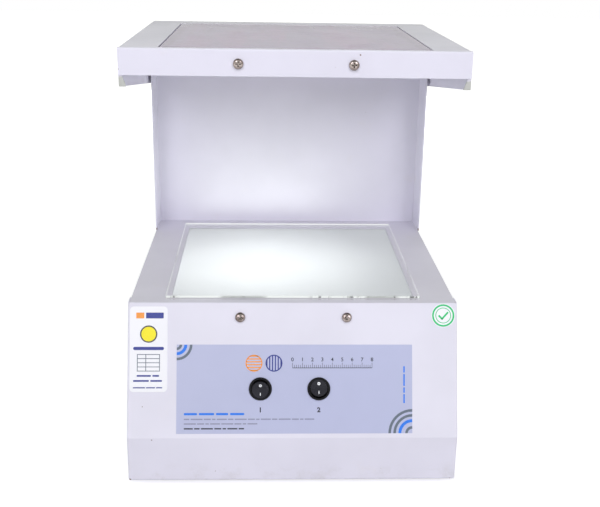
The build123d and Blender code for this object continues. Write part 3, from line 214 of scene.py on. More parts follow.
floor_paint = bpy.data.materials.new("floor_paint")
floor_paint.use_nodes = True
floor_tree = floor_paint.node_tree
floor_shader = floor_tree.nodes["Principled BSDF"]
floor_shader.inputs["Base Color"].default_value = floor_tone
floor_shader.inputs["Roughness"].default_value = 0.9
floor_shader.inputs["Specular IOR Level"].default_value = 0.0
floor_shader.inputs["Emission Color"].default_value = (1.0, 1.0, 1.0, 1.0)
floor_seen = add_seen_rays(floor_tree, ("Is Camera Ray", "Is Glossy Ray", "Is Transmission Ray"))
floor_away = floor_tree.nodes.new("ShaderNodeVectorMath")
floor_away.operation = "LENGTH"
floor_place = floor_tree.nodes.new("ShaderNodeTexCoord").outputs["Object"]
floor_tree.links.new(floor_place, floor_away.inputs[0])
floor_rise = add_fade(floor_tree, floor_away.outputs["Value"], glow_near, glow_far, floor_glow, 1.0)
floor_level = floor_tree.nodes.new("ShaderNodeMath")
floor_level.operation = "MULTIPLY"
floor_tree.links.new(floor_rise, floor_level.inputs[1])
floor_tree.links.new(floor_seen, floor_level.inputs[0])
floor_tree.links.new(floor_level.outputs[0], floor_shader.inputs["Emission Strength"])
floor_data.materials.append(floor_paint)
print("floor half width:", floor_half)

# %% [markdown]
# Every finish starts from the same few steps: read the place on the piece, make blotches of a given
# size, and turn them into a small change of colour, roughness or height. The place is the Object
# coordinate, in metres, so a blotch has a real size and stays on the piece when it moves.

# %% Helpers for finishes


class Finish:
    """A material that is built up in layers on one principled shader."""

    def __init__(self, name):
        self.material = bpy.data.materials.new(name)
        self.material.use_nodes = True
        self.tree = self.material.node_tree
        self.shader = self.tree.nodes["Principled BSDF"]
        self.place = self.add("ShaderNodeTexCoord").outputs["Object"]

    def add(self, kind, **settings):
        """Add a node, with its settings."""
        node = self.tree.nodes.new(kind)
        for setting, value in settings.items():
            setattr(node, setting, value)
        return node

    def join(self, source, socket):
        """Link an output to an input."""
        self.tree.links.new(source, socket)

    def set(self, **values):
        """Set the shader's own sockets, with words joined by underscores."""
        for socket, value in values.items():
            self.shader.inputs[socket.replace("_", " ")].default_value = value

    def stretched(self, scale):
        """Give the place stretched along the axes."""
        mapping = self.add("ShaderNodeMapping")
        mapping.inputs["Scale"].default_value = scale
        self.join(self.place, mapping.inputs["Vector"])
        return mapping.outputs["Vector"]

    def blotches(self, size, detail=3.0, roughness=0.55, place=None):
        """Give a soft random value between 0 and 1 with blotches of a size in metres."""
        noise = self.add("ShaderNodeTexNoise")
        noise.inputs["Scale"].default_value = 1.0 / size
        noise.inputs["Detail"].default_value = detail
        noise.inputs["Roughness"].default_value = roughness
        self.join(place or self.place, noise.inputs["Vector"])
        return noise.outputs["Fac"]

    def cells(self, size, feature="F1"):
        """Give the distance to the nearest of many scattered points, in cells of a size."""
        scatter = self.add("ShaderNodeTexVoronoi", feature=feature)
        scatter.inputs["Scale"].default_value = 1.0 / size
        self.join(self.place, scatter.inputs["Vector"])
        return scatter.outputs["Distance"]

    def ramp(self, source, low, high, to_low=0.0, to_high=1.0):
        """Turn a range of one value into another, with soft ends."""
        return add_fade(self.tree, source, low, high, to_low, to_high, "SMOOTHSTEP")

    def combine(self, operation, first, second):
        """Work out one value from two. The second may be a plain number."""
        node = self.add("ShaderNodeMath", operation=operation)
        self.join(first, node.inputs[0])
        if isinstance(second, (int, float)):
            node.inputs[1].default_value = second
        else:
            self.join(second, node.inputs[1])
        return node.outputs[0]

    def times(self, first, second):
        """Multiply two values. The second may be a plain number."""
        return self.combine("MULTIPLY", first, second)

    def tint(self, amount, first, second):
        """Mix two colours by an amount. Each may be a colour or an output."""
        node = self.add("ShaderNodeMix", data_type="RGBA")
        self.join(amount, node.inputs["Factor"])
        for socket, colour in ((node.inputs[6], first), (node.inputs[7], second)):
            if isinstance(colour, tuple):
                socket.default_value = colour
            else:
                self.join(colour, socket)
        return node.outputs[2]

    def axis(self, letter):
        """Give one coordinate of the place."""
        parts = self.add("ShaderNodeSeparateXYZ")
        self.join(self.place, parts.inputs[0])
        return parts.outputs[letter]

    def spot(self, centre, radius, ragged=0.4):
        """Give 1 within a ragged spot round a point, and 0 away from it."""
        away = self.add("ShaderNodeVectorMath", operation="DISTANCE")
        self.join(self.place, away.inputs[0])
        away.inputs[1].default_value = centre
        torn = self.times(self.blotches(radius * 0.9, detail=4.0), 2.0 * radius * ragged)
        torn_away = self.combine("ADD", away.outputs["Value"], torn)
        return self.ramp(torn_away, radius * 0.9, radius * 1.25, 1.0, 0.0)

    def relief(self, height, distance, strength=1.0, below=None):
        """Turn a value into small bumps of a real height, over any bumps below."""
        bump = self.add("ShaderNodeBump")
        bump.inputs["Strength"].default_value = strength
        bump.inputs["Distance"].default_value = distance
        self.join(height, bump.inputs["Height"])
        if below is not None:
            self.join(below, bump.inputs["Normal"])
        return bump.outputs["Normal"]

    def soft_edge(self, radius):
        """Give a normal that rounds the piece's sharp edges by a radius."""
        edge = self.add("ShaderNodeBevel", samples=4)
        edge.inputs["Radius"].default_value = radius
        return edge.outputs["Normal"]

    def edge_mask(self, radius, low=0.02, high=0.25):
        """Give 1 near sharp edges and 0 on flat faces."""
        rounded = self.soft_edge(radius)
        geometry = self.add("ShaderNodeNewGeometry")
        alike = self.add("ShaderNodeVectorMath", operation="DOT_PRODUCT")
        self.join(rounded, alike.inputs[0])
        self.join(geometry.outputs["Normal"], alike.inputs[1])
        turned = self.combine("SUBTRACT", alike.outputs["Value"], 1.0)
        return self.ramp(self.combine("ABSOLUTE", turned, 0.0), low, high)

    def vector(self, operation, first, second=None):
        """Work out one vector from two. The second may be three plain numbers."""
        node = self.add("ShaderNodeVectorMath", operation=operation)
        self.join(first, node.inputs[0])
        if isinstance(second, tuple):
            node.inputs[1].default_value = second
        elif second is not None:
            self.join(second, node.inputs[1])
        return node.outputs["Vector"]

    def colour_source(self):
        """Give what feeds the colour so far."""
        return self.shader.inputs["Base Color"].links[0].from_socket

    def normal_source(self):
        """Give what feeds the normal so far."""
        return self.shader.inputs["Normal"].links[0].from_socket

    def colour(self, source):
        """Let an output set the colour."""
        self.join(source, self.shader.inputs["Base Color"])

    def rough(self, source):
        """Let an output set the roughness."""
        self.join(source, self.shader.inputs["Roughness"])

    def normal(self, source):
        """Let an output set the normal."""
        self.join(source, self.shader.inputs["Normal"])


finish_of = {}


def scaled(tone, factor):
    """Give a colour made lighter or darker by a factor."""
    return tuple(v * factor for v in tone[:3]) + (1.0,)


def dress(finish, *names):
    """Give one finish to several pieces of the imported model."""
    for name in names:
        data = nodes[name].data
        data.materials.clear()
        data.materials.append(finish.material)
        for face in data.polygons:
            face.material_index = 0
        finish_of[name] = finish.material.name
    print(finish.material.name, "on", ", ".join(names))


# %% [markdown]
# The cabinet is steel sheet with a baked powder coat, a pale lavender white. Powder leaves a fine
# orange peel, which a little noise a millimetre across gives as bumps. Wide faint blotches, a few
# specks and a grey bloom near the bottom keep it from looking like flat colour, and the edge of the
# sheet is rounded by the coat. Chips lie where the photograph shows them. A grey spot on the front lip
# of each side of the head is painted shade, the shadow that the fascia casts on the lip.

# %% Powder coat
speck_tone = (0.42, 0.40, 0.40, 1.0)
grime_tone = (0.50, 0.47, 0.45, 1.0)
painted_shade_tone = (0.53, 0.54, 0.50, 1.0)
chip_tone = (0.20, 0.13, 0.10, 1.0)


def powder_coat(name, tone, grime_height=0.03, chips=(), spots=()):
    """Make the powder coat in a tone, with chips, and spots of painted shade, at the places given."""
    coat = Finish(name)
    dull = scaled(tone, 0.955)
    warm = (tone[0] * 0.985, tone[1] * 0.97, tone[2] * 0.93, 1.0)
    base = coat.tint(coat.ramp(coat.blotches(0.09), 0.35, 0.7), tone, dull)
    smudges = coat.ramp(coat.blotches(0.035, detail=5.0, roughness=0.65), 0.6, 0.78, 0.0, 0.55)
    base = coat.tint(smudges, base, warm)
    specks = coat.ramp(coat.cells(0.011), 0.03, 0.05, 0.6, 0.0)
    few = coat.ramp(coat.blotches(0.02, detail=1.0), 0.62, 0.66)
    base = coat.tint(coat.times(specks, few), base, speck_tone)
    low = coat.ramp(coat.axis("Z"), 0.004, grime_height, 0.35, 0.0)
    patchy = coat.ramp(coat.blotches(0.02, detail=6.0, roughness=0.7), 0.45, 0.7)
    base = coat.tint(coat.times(low, patchy), base, grime_tone)
    # Painted shade: a grey patch at each spot given.
    for centre, radius in spots:
        base = coat.tint(coat.spot(centre, radius), base, painted_shade_tone)
    for centre, radius in chips:
        base = coat.tint(coat.spot(centre, radius), base, chip_tone)
    coat.colour(base)
    coat.rough(coat.ramp(coat.blotches(0.05), 0.3, 0.7, 0.50, 0.62))
    peel = coat.relief(coat.blotches(0.0011, detail=2.0), 0.00002, 0.5, coat.soft_edge(0.0005))
    coat.normal(peel)
    coat.set(Specular_IOR_Level=0.32)
    return coat


lavender_white = (0.800, 0.785, 0.875, 1.0)
# The deck is the same powder coat; its darker tone is painted shade, as it is a level face.
deck_shaded_lavender = (0.700, 0.688, 0.752, 1.0)
fascia_chips = [((0.0607, -0.115, 0.4225), 0.0011), ((-0.1686, -0.115, 0.4068), 0.0012)]
panel_chips = [
    ((-0.1640, -0.185, 0.0062), 0.0016),
    ((-0.1579, -0.185, 0.0052), 0.0012),
    ((0.1605, -0.185, 0.0055), 0.0014),
    ((-0.1502, -0.1738, 0.0823), 0.0007),
    ((-0.1408, -0.185, 0.0512), 0.0009),
    ((-0.0781, -0.185, 0.0158), 0.0006),
]
# Painted shade on the front lips of the head's sides, where the fascia shades them.
lip_painted_shade = [((-0.1660, -0.1138, 0.3940), 0.0085), ((0.1660, -0.1138, 0.3940), 0.0085)]
# Dark spots in the chip tone lie at the foot of each flange of the column, just above the deck.
flange_foot_spots = [
    ((-0.1635, 0.1062, 0.1820), 0.0022),
    ((-0.1635, 0.1250, 0.1815), 0.0014),
    ((0.1635, 0.1062, 0.1825), 0.0026),
    ((0.1635, 0.1180, 0.1815), 0.0018),
]
dress(
    powder_coat("sheet_paint", lavender_white),
    "base_cabinet", "floor_pan", "column_back_cover", "head_front_bar", "analyser_rails",
)
dress(powder_coat("head_paint", lavender_white, spots=lip_painted_shade), "head_shell")
dress(powder_coat("fascia_paint", lavender_white, chips=fascia_chips), "head_fascia")
dress(powder_coat("panel_paint", lavender_white, chips=panel_chips), "front_panel")
dress(powder_coat("column_paint", lavender_white, chips=flange_foot_spots), "column_channel")
# Painted shade: the deck's coat is a darker copy of the lavender white.
dress(powder_coat("deck_paint", deck_shaded_lavender), "deck_plate")

# %% [markdown]
# Screws, nuts and studs are steel with a bright zinc plate, a little warm from age. Fine turning
# lines and a rough patchy shine read as metal once the white surround reflects in it.

# %% Metals


def plated_metal(name, light_tone, dark_tone, low_rough=0.22, high_rough=0.42, grain=0.0006):
    """Make a plated metal with patches of stain and fine lines."""
    metal = Finish(name)
    stain = metal.ramp(metal.blotches(0.004, detail=5.0, roughness=0.7), 0.35, 0.7)
    base = metal.tint(stain, light_tone, dark_tone)
    worn = metal.edge_mask(0.0003)
    metal.colour(metal.tint(metal.times(worn, 0.6), base, (0.86, 0.85, 0.83, 1.0)))
    metal.rough(metal.ramp(metal.blotches(0.003), 0.3, 0.7, low_rough, high_rough))
    metal.normal(metal.relief(metal.blotches(grain, detail=3.0), 0.00001, 0.5, metal.soft_edge(0.0002)))
    metal.set(Metallic=1.0)
    return metal


dress(
    plated_metal("zinc_plate", (0.56, 0.52, 0.49, 1.0), (0.20, 0.155, 0.135, 1.0)),
    "front_panel_nuts", "fascia_nuts", "head_bolts", "head_nuts", "head_spacers", "head_back_screws",
    "column_bolts", "pan_screws", "foot_screws", "gear_screws", "inlet_screws", "inlet_nuts",
    "frame_studs", "frame_spacers", "frame_nuts",
)
dress(
    plated_metal("rolled_steel", (0.58, 0.58, 0.60, 1.0), (0.44, 0.43, 0.44, 1.0), 0.3, 0.5),
    "fluorescent_ballast",
)
dress(
    plated_metal("tin_plate", (0.74, 0.72, 0.68, 1.0), (0.60, 0.55, 0.46, 1.0)),
    "inlet_pins", "switch_terminals", "sodium_cap",
)
dress(plated_metal("drawn_aluminium", (0.80, 0.80, 0.82, 1.0), (0.70, 0.70, 0.72, 1.0)), "ignitor_can")
dress(plated_metal("turned_brass", (0.78, 0.60, 0.28, 1.0), (0.55, 0.40, 0.18, 1.0)), "earth_stud")

# %% [markdown]
# The four screws in view have low domed heads with a cross recess. The imported head has a flat top and
# a rounded rim, and its finish gives the dome: the normal leans outwards, more so away from the middle
# of the head, and the top then mirrors the white surround as well as the grey ceiling. A left and a
# right head share one finish, so the lean is mirrored by the side. Deep in the recess the colour is
# darkened where ambient occlusion finds it hidden: painted shade.

# %% Screw heads
dome_bulge = 110.0
recess_shade = 0.0012
# The tones are darker than the zinc plate of the hidden screws: partly age, and partly painted shade for the
# dark room that a real screw head mirrors.
screw_aged_shaded_pale = (0.40, 0.345, 0.315, 1.0)
screw_aged_shaded_deep = (0.110, 0.082, 0.070, 1.0)
recess_shade_tone = (0.030, 0.022, 0.018, 1.0)


def screw_metal(name, centre):
    """Make the metal of two heads that lie alike on the left and right, each a little domed."""
    metal = plated_metal(name, screw_aged_shaded_pale, screw_aged_shaded_deep, 0.08, 0.20)
    side = metal.vector("SIGN", metal.place)
    middle = metal.vector("MULTIPLY", side, (centre.x, 0.0, 0.0))
    middle = metal.vector("ADD", middle, (0.0, centre.y, centre.z))
    outwards = metal.vector("SCALE", metal.vector("SUBTRACT", metal.place, middle))
    outwards.node.inputs["Scale"].default_value = dome_bulge
    bulged = metal.vector("ADD", metal.normal_source(), outwards)
    metal.normal(metal.vector("NORMALIZE", bulged))
    shade = metal.add("ShaderNodeAmbientOcclusion", samples=8, only_local=True)
    shade.inputs["Distance"].default_value = recess_shade
    # Painted shade: the colour darkens towards the recess tone where ambient occlusion finds the recess.
    recess_shading = metal.ramp(shade.outputs["AO"], 0.35, 0.85, 1.0, 0.0)
    metal.colour(metal.tint(recess_shading, metal.colour_source(), recess_shade_tone))
    return metal


screw_seats = {
    "front_panel_screws": Vector((0.0535, -0.14217, 0.16545)),
    "fascia_screws": Vector((0.0550, -0.11500, 0.41300)),
}
for name, seat in screw_seats.items():
    dress(screw_metal(name + "_metal", seat), name)

# %% [markdown]
# The choke is a stack of thin iron sheets under varnish, wound with enamelled wire. Neither is worth
# modelling wire by wire inside a closed cabinet, so a wave gives the edges of the sheets and the
# turns of the winding as bumps and bands of colour.

# %% Choke


def banded(name, tone, gap_tone, pitch, direction, distance, rough):
    """Make a finish of narrow raised bands."""
    stack = Finish(name)
    wave = stack.add("ShaderNodeTexWave", bands_direction=direction, wave_profile="SIN")
    wave.inputs["Scale"].default_value = pi / (10.0 * pitch)
    wave.inputs["Distortion"].default_value = 0.3
    stack.join(stack.place, wave.inputs["Vector"])
    height = wave.outputs["Fac"]
    base = stack.tint(stack.ramp(height, 0.0, 0.35), gap_tone, tone)
    aged = stack.ramp(stack.blotches(0.012, detail=4.0), 0.4, 0.7, 0.0, 0.4)
    stack.colour(stack.tint(aged, base, gap_tone))
    stack.set(Roughness=rough)
    stack.normal(stack.relief(height, distance, 0.8))
    return stack


sheet_pitch = 0.0007
wire_pitch = 0.0008
iron_grey = (0.13, 0.13, 0.14, 1.0)
iron_gap = (0.03, 0.03, 0.03, 1.0)
iron_stack = banded("varnished_iron", iron_grey, iron_gap, sheet_pitch, "Y", 0.0001, 0.45)
iron_stack.set(Metallic=0.6)
dress(iron_stack, "choke_core")
wire_brown = (0.55, 0.22, 0.08, 1.0)
wire_gap = (0.16, 0.05, 0.02, 1.0)
dress(banded("enamelled_wire", wire_brown, wire_gap, wire_pitch, "Z", 0.0003, 0.28), "choke_coil")

# %% [markdown]
# Plastics and rubber. A moulded part shows the skin of its mould: sparked steel gives a fine grain, a
# polished one gloss. The switches have a satin bezel and a glossy rocker. A small coat of dust in the
# low places takes the pure black off.

# %% Plastics and rubber
dust_tone = (0.55, 0.54, 0.52, 1.0)


def moulded(name, tone, rough, grain, depth, dust=0.0, edge=0.0003, gloss=0.5):
    """Make a moulded plastic with a grain of a given size and depth."""
    plastic = Finish(name)
    base = plastic.tint(plastic.ramp(plastic.blotches(0.02), 0.35, 0.7), tone, scaled(tone, 0.86))
    specks = plastic.ramp(plastic.blotches(0.0025, detail=6.0, roughness=0.8), 0.56, 0.72, 0.0, dust)
    plastic.colour(plastic.tint(specks, base, dust_tone))
    plastic.rough(plastic.ramp(plastic.blotches(0.008), 0.3, 0.7, rough, rough + 0.12))
    skin = plastic.relief(plastic.blotches(grain, detail=2.0), depth, 0.6, plastic.soft_edge(edge))
    plastic.normal(skin)
    plastic.set(Specular_IOR_Level=gloss)
    return plastic


dress(
    moulded("bezel_black", (0.010, 0.010, 0.012, 1.0), 0.30, 0.0003, 0.00001, 0.03, gloss=0.12),
    "left_switch_housing", "right_switch_housing",
)
dress(
    moulded("rocker_black", (0.018, 0.018, 0.025, 1.0), 0.22, 0.0010, 0.000004, 0.03, gloss=0.22),
    "left_switch_rocker", "right_switch_rocker",
)
dress(moulded("inlet_black", (0.030, 0.030, 0.032, 1.0), 0.45, 0.0003, 0.00001, 0.08), "mains_inlet")
dress(moulded("foot_rubber", (0.035, 0.034, 0.033, 1.0), 0.72, 0.0008, 0.00003, 0.25), "rubber_feet")
dress(
    moulded("white_moulding", (0.80, 0.80, 0.77, 1.0), 0.38, 0.0005, 0.00001, 0.04),
    "terminal_block", "fluorescent_cap", "fluorescent_holder", "fluorescent_clip", "sodium_saddle",
)
dress(moulded("glazed_ceramic", (0.86, 0.84, 0.80, 1.0), 0.12, 0.0030, 0.00002, 0.03), "sodium_holder")
dress(
    moulded("white_enamel", (0.87, 0.87, 0.84, 1.0), 0.22, 0.0040, 0.00002, 0.02),
    "reflector_tray", "sheet_frame",
)

# %% [markdown]
# The stage is lit from below. In the real instrument a lamp shines on an opal sheet, the light goes up
# through the lower polariser and leaves through the glass. The opal sheet glows here, brightest left
# of the middle where the lamp is nearest, and the two clear sheets above it let the glow through.

# %% Lit opal sheet
stage_low, stage_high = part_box("stage_glass")
stage_middle = (stage_low + stage_high) / 2
glow_level = 1.38
edge_level = 0.37
glow_left = 0.034
glow_forward = 0.012
glow_core = 0.01
glow_reach = 0.180

opal = Finish("lit_opal")
away = opal.add("ShaderNodeVectorMath", operation="DISTANCE")
opal.join(opal.stretched((1.0, 1.0, 0.0)), away.inputs[0])
away.inputs[1].default_value = (stage_middle.x - glow_left, stage_middle.y - glow_forward, 0.0)
fade = opal.ramp(away.outputs["Value"], glow_core, glow_reach, 1.0, edge_level)
patch = opal.times(opal.ramp(opal.blotches(0.07, detail=1.0), 0.3, 0.7, 0.97, 1.03), fade)
opal.join(opal.times(patch, glow_level), opal.shader.inputs["Emission Strength"])
opal.set(Base_Color=(0.80, 0.84, 0.82, 1.0), Roughness=0.35, Emission_Color=(0.962, 1.0, 0.960, 1.0))
opal.normal(opal.relief(opal.blotches(0.0009, detail=2.0), 0.00001, 0.4))
dress(opal, "diffuser_sheet")
print("glow level:", glow_level)

# %% [markdown]
# The polarisers are grey violet film. Light goes straight through a thin clear sheet, so a mix of a
# tinted transparent shader with the glossy surface is truer here than refraction, and it lets the
# lamps shine through. The mix is by the surface's own reflectance. The glass plate carries light to
# its ground edges, and an emission paints that as a glow: a broken bright line along the crest of its
# front edge, and a thin painted highlight along every edge of the plate.

# %% Clear sheets
sheet_index = 1.49
crest_start = 0.0024
crest_full = 0.0020
front_reach = 0.02


def clear_sheet(name, pass_tone, body_tone, body, rough, streaks=0.0, edge_glow=0.0):
    """Make a clear sheet that passes a tint at each face, with a share of solid body colour."""
    sheet = Finish(name)
    clear = sheet.add("ShaderNodeBsdfTransparent")
    clear.inputs["Color"].default_value = pass_tone
    mix = sheet.add("ShaderNodeMixShader")
    fresnel = sheet.add("ShaderNodeFresnel")
    fresnel.inputs["IOR"].default_value = sheet_index
    geometry = sheet.add("ShaderNodeNewGeometry")
    outside = sheet.combine("SUBTRACT", geometry.outputs["Backfacing"], 1.0)
    outside = sheet.combine("ABSOLUTE", outside, 0.0)
    share = sheet.times(sheet.combine("MAXIMUM", fresnel.outputs["Fac"], body), outside)
    sheet.join(share, mix.inputs["Fac"])
    sheet.join(clear.outputs["BSDF"], mix.inputs[1])
    sheet.join(sheet.shader.outputs["BSDF"], mix.inputs[2])
    surface = mix.outputs["Shader"]
    if edge_glow:
        surface = lit_edge(sheet, geometry, surface, edge_glow)
    sheet.join(surface, sheet.tree.nodes["Material Output"].inputs["Surface"])
    long_blotches = sheet.blotches(0.03, detail=3.0, place=sheet.stretched((1.0, 0.12, 1.0)))
    pink = (body_tone[0] * 1.12, body_tone[1] * 0.96, body_tone[2] * 1.0, 1.0)
    sheet.colour(sheet.tint(sheet.ramp(long_blotches, 0.4, 0.65, 0.0, streaks), body_tone, pink))
    spots = sheet.ramp(sheet.blotches(0.03, detail=5.0, roughness=0.7), 0.4, 0.75, rough, rough + 0.09)
    sheet.rough(spots)
    return sheet


def lit_edge(sheet, geometry, surface, glow):
    """Paint a glow on the ground edges of a plate, for the light that travels inside it."""
    facing = sheet.add("ShaderNodeSeparateXYZ")
    sheet.join(geometry.outputs["Normal"], facing.inputs[0])
    level = sheet.combine("ABSOLUTE", facing.outputs["Z"], 0.0)
    upright = sheet.ramp(level, 0.90, 0.98, 1.0, 0.0)
    lengthwise = sheet.ramp(sheet.combine("ABSOLUTE", facing.outputs["Y"], 0.0), 0.8, 0.9)
    front_start = stage_middle.y - front_reach
    front_end = stage_middle.y + front_reach
    at_front = sheet.ramp(sheet.axis("Y"), front_start, front_end, 1.0, 0.0)
    crest = sheet.ramp(sheet.axis("Z"), stage_high.z - crest_start, stage_high.z - crest_full)
    stretches = sheet.blotches(0.045, detail=1.0, place=sheet.stretched((1.0, 0.2, 0.0)))
    wide = sheet.ramp(stretches, 0.42, 0.52, 0.55, 1.0)
    ticks = sheet.blotches(0.0065, detail=4.0, roughness=0.75, place=sheet.stretched((1.0, 0.2, 0.15)))
    tick_groups = sheet.blotches(0.05, detail=1.0, place=sheet.stretched((1.0, 0.9, 0.0)))
    ticked = sheet.ramp(tick_groups, 0.50, 0.60)
    few_ticks = sheet.times(sheet.ramp(ticks, 0.40, 0.50, 0.75, 0.0), ticked)
    duller = sheet.combine("ADD", sheet.combine("SUBTRACT", few_ticks, wide), 1.0)
    duller = sheet.times(duller, at_front)
    shine = sheet.combine("ABSOLUTE", sheet.combine("SUBTRACT", duller, 1.0), 0.0)
    ground = sheet.add("ShaderNodeEmission")
    ground.inputs["Color"].default_value = (0.97, 1.0, 0.99, 1.0)
    sheet.join(sheet.times(shine, glow), ground.inputs["Strength"])
    mix = sheet.add("ShaderNodeMixShader")
    edge = sheet.times(sheet.times(upright, lengthwise), crest)
    # A thin painted highlight also runs along every sharp edge of the plate.
    line = sheet.times(sheet.edge_mask(0.0011, 0.004, 0.03), 0.80)
    sheet.join(sheet.combine("MAXIMUM", sheet.times(edge, 0.9), line), mix.inputs["Fac"])
    sheet.join(surface, mix.inputs[1])
    sheet.join(ground.outputs["Emission"], mix.inputs[2])
    return mix.outputs["Shader"]


dress(
    clear_sheet("polarising_film", (0.76, 0.77, 0.78, 1.0), (0.42, 0.40, 0.46, 1.0), 0.02, 0.05),
    "polariser_sheet",
)
dress(
    clear_sheet("analyser_film", (0.55, 0.53, 0.59, 1.0), (0.470, 0.405, 0.530, 1.0), 0.74, 0.18, 0.9),
    "analyser_sheet",
)
dress(
    clear_sheet("plate_glass", (1.0, 0.995, 1.0, 1.0), (0.82, 0.88, 0.87, 1.0), 0.03, 0.03, 0.0, 0.95),
    "stage_glass",
)
dress(
    clear_sheet("lamp_glass", (0.95, 0.95, 0.93, 1.0), (0.90, 0.90, 0.88, 1.0), 0.06, 0.03),
    "sodium_bulb",
)

# %% [markdown]
# The lamps are hidden in the cabinet. The fluorescent tubes carry a white powder inside their glass;
# the arc tube is a glass rod with dimples along it.

# %% Lamp tubes
dress(moulded("tube_powder", (0.90, 0.90, 0.88, 1.0), 0.10, 0.0040, 0.00001, 0.02), "fluorescent_tube")
dimple_pitch = 0.012
arc_clear = (0.88, 0.84, 0.72, 1.0)
arc_dimple = (0.70, 0.62, 0.46, 1.0)
dress(
    banded("arc_tube_glass", arc_clear, arc_dimple, dimple_pitch, "X", 0.0004, 0.12),
    "sodium_arc_tube",
)

# %% [markdown]
# The big label is a printed polyester film, blue lavender, a little deeper to the right, with a matt
# face. The two stickers are white vinyl. The print itself comes later as thin layers of ink.

# %% Label films
label_low, label_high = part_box("control_label")


def label_film(name, left_tone, right_tone, rough=0.36):
    """Make a printed film that shades from left to right."""
    print_film = Finish(name)
    across = print_film.ramp(print_film.axis("X"), label_low.x, label_high.x)
    base = print_film.tint(across, left_tone, right_tone)
    mottle = print_film.ramp(print_film.blotches(0.03, detail=4.0), 0.4, 0.75, 0.0, 0.25)
    base = print_film.tint(mottle, base, scaled(right_tone, 0.93))
    print_film.colour(base)
    print_film.rough(print_film.ramp(print_film.blotches(0.012), 0.3, 0.7, rough, rough + 0.1))
    grain = print_film.blotches(0.0006, detail=2.0)
    print_film.normal(print_film.relief(grain, 0.000008, 0.5, print_film.soft_edge(0.0001)))
    return print_film


label_blue = (0.497, 0.520, 0.700, 1.0)
deeper_blue = (0.490, 0.516, 0.708, 1.0)
vinyl_white = (0.90, 0.90, 0.93, 1.0)
dress(label_film("blue_label_film", label_blue, deeper_blue), "control_label")
dress(label_film("white_label_film", vinyl_white, vinyl_white, 0.28), "plain_label", "round_label")

# %% [markdown]
# The marks on the labels are thin layers of ink. They could be painted by the label's own material,
# but a mesh keeps them sharp from near and far. All of them lie on the sloping front, so they are drawn
# flat, with u to the right and v up the slope from the fold, and then carried onto it. The slope leans
# back by 48 mm over a rise of 126 mm.

# %% The sloping front's own directions
front_setback = 0.048
slope_rise = 0.126
lean = atan2(front_setback, slope_rise)
panel_low, panel_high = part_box("front_panel")
fold = Vector((0.0, panel_low.y, panel_high.z - slope_rise))
across_slope = Vector((1.0, 0.0, 0.0))
up_slope = Vector((0.0, sin(lean), cos(lean)))
out_of_slope = Vector((0.0, -cos(lean), sin(lean)))
slope_turn = Matrix((across_slope, up_slope, out_of_slope)).transposed().to_4x4()
slope_length = hypot(front_setback, slope_rise)
print("slope length:", round(slope_length, 4), "lean in degrees:", round(lean * 180 / pi, 2))

# %% [markdown]
# A small kit of flat shapes is enough for the print: bars, discs, rings, arcs, frames and numerals.
# Each starts from a circle, a square or one edge, and an operator makes the rest. At the end the
# whole layer is pushed out by the thickness of the ink, so it is a closed body.

# %% Shapes of the print
ink_thickness = 0.00005
film_thickness = 0.0003


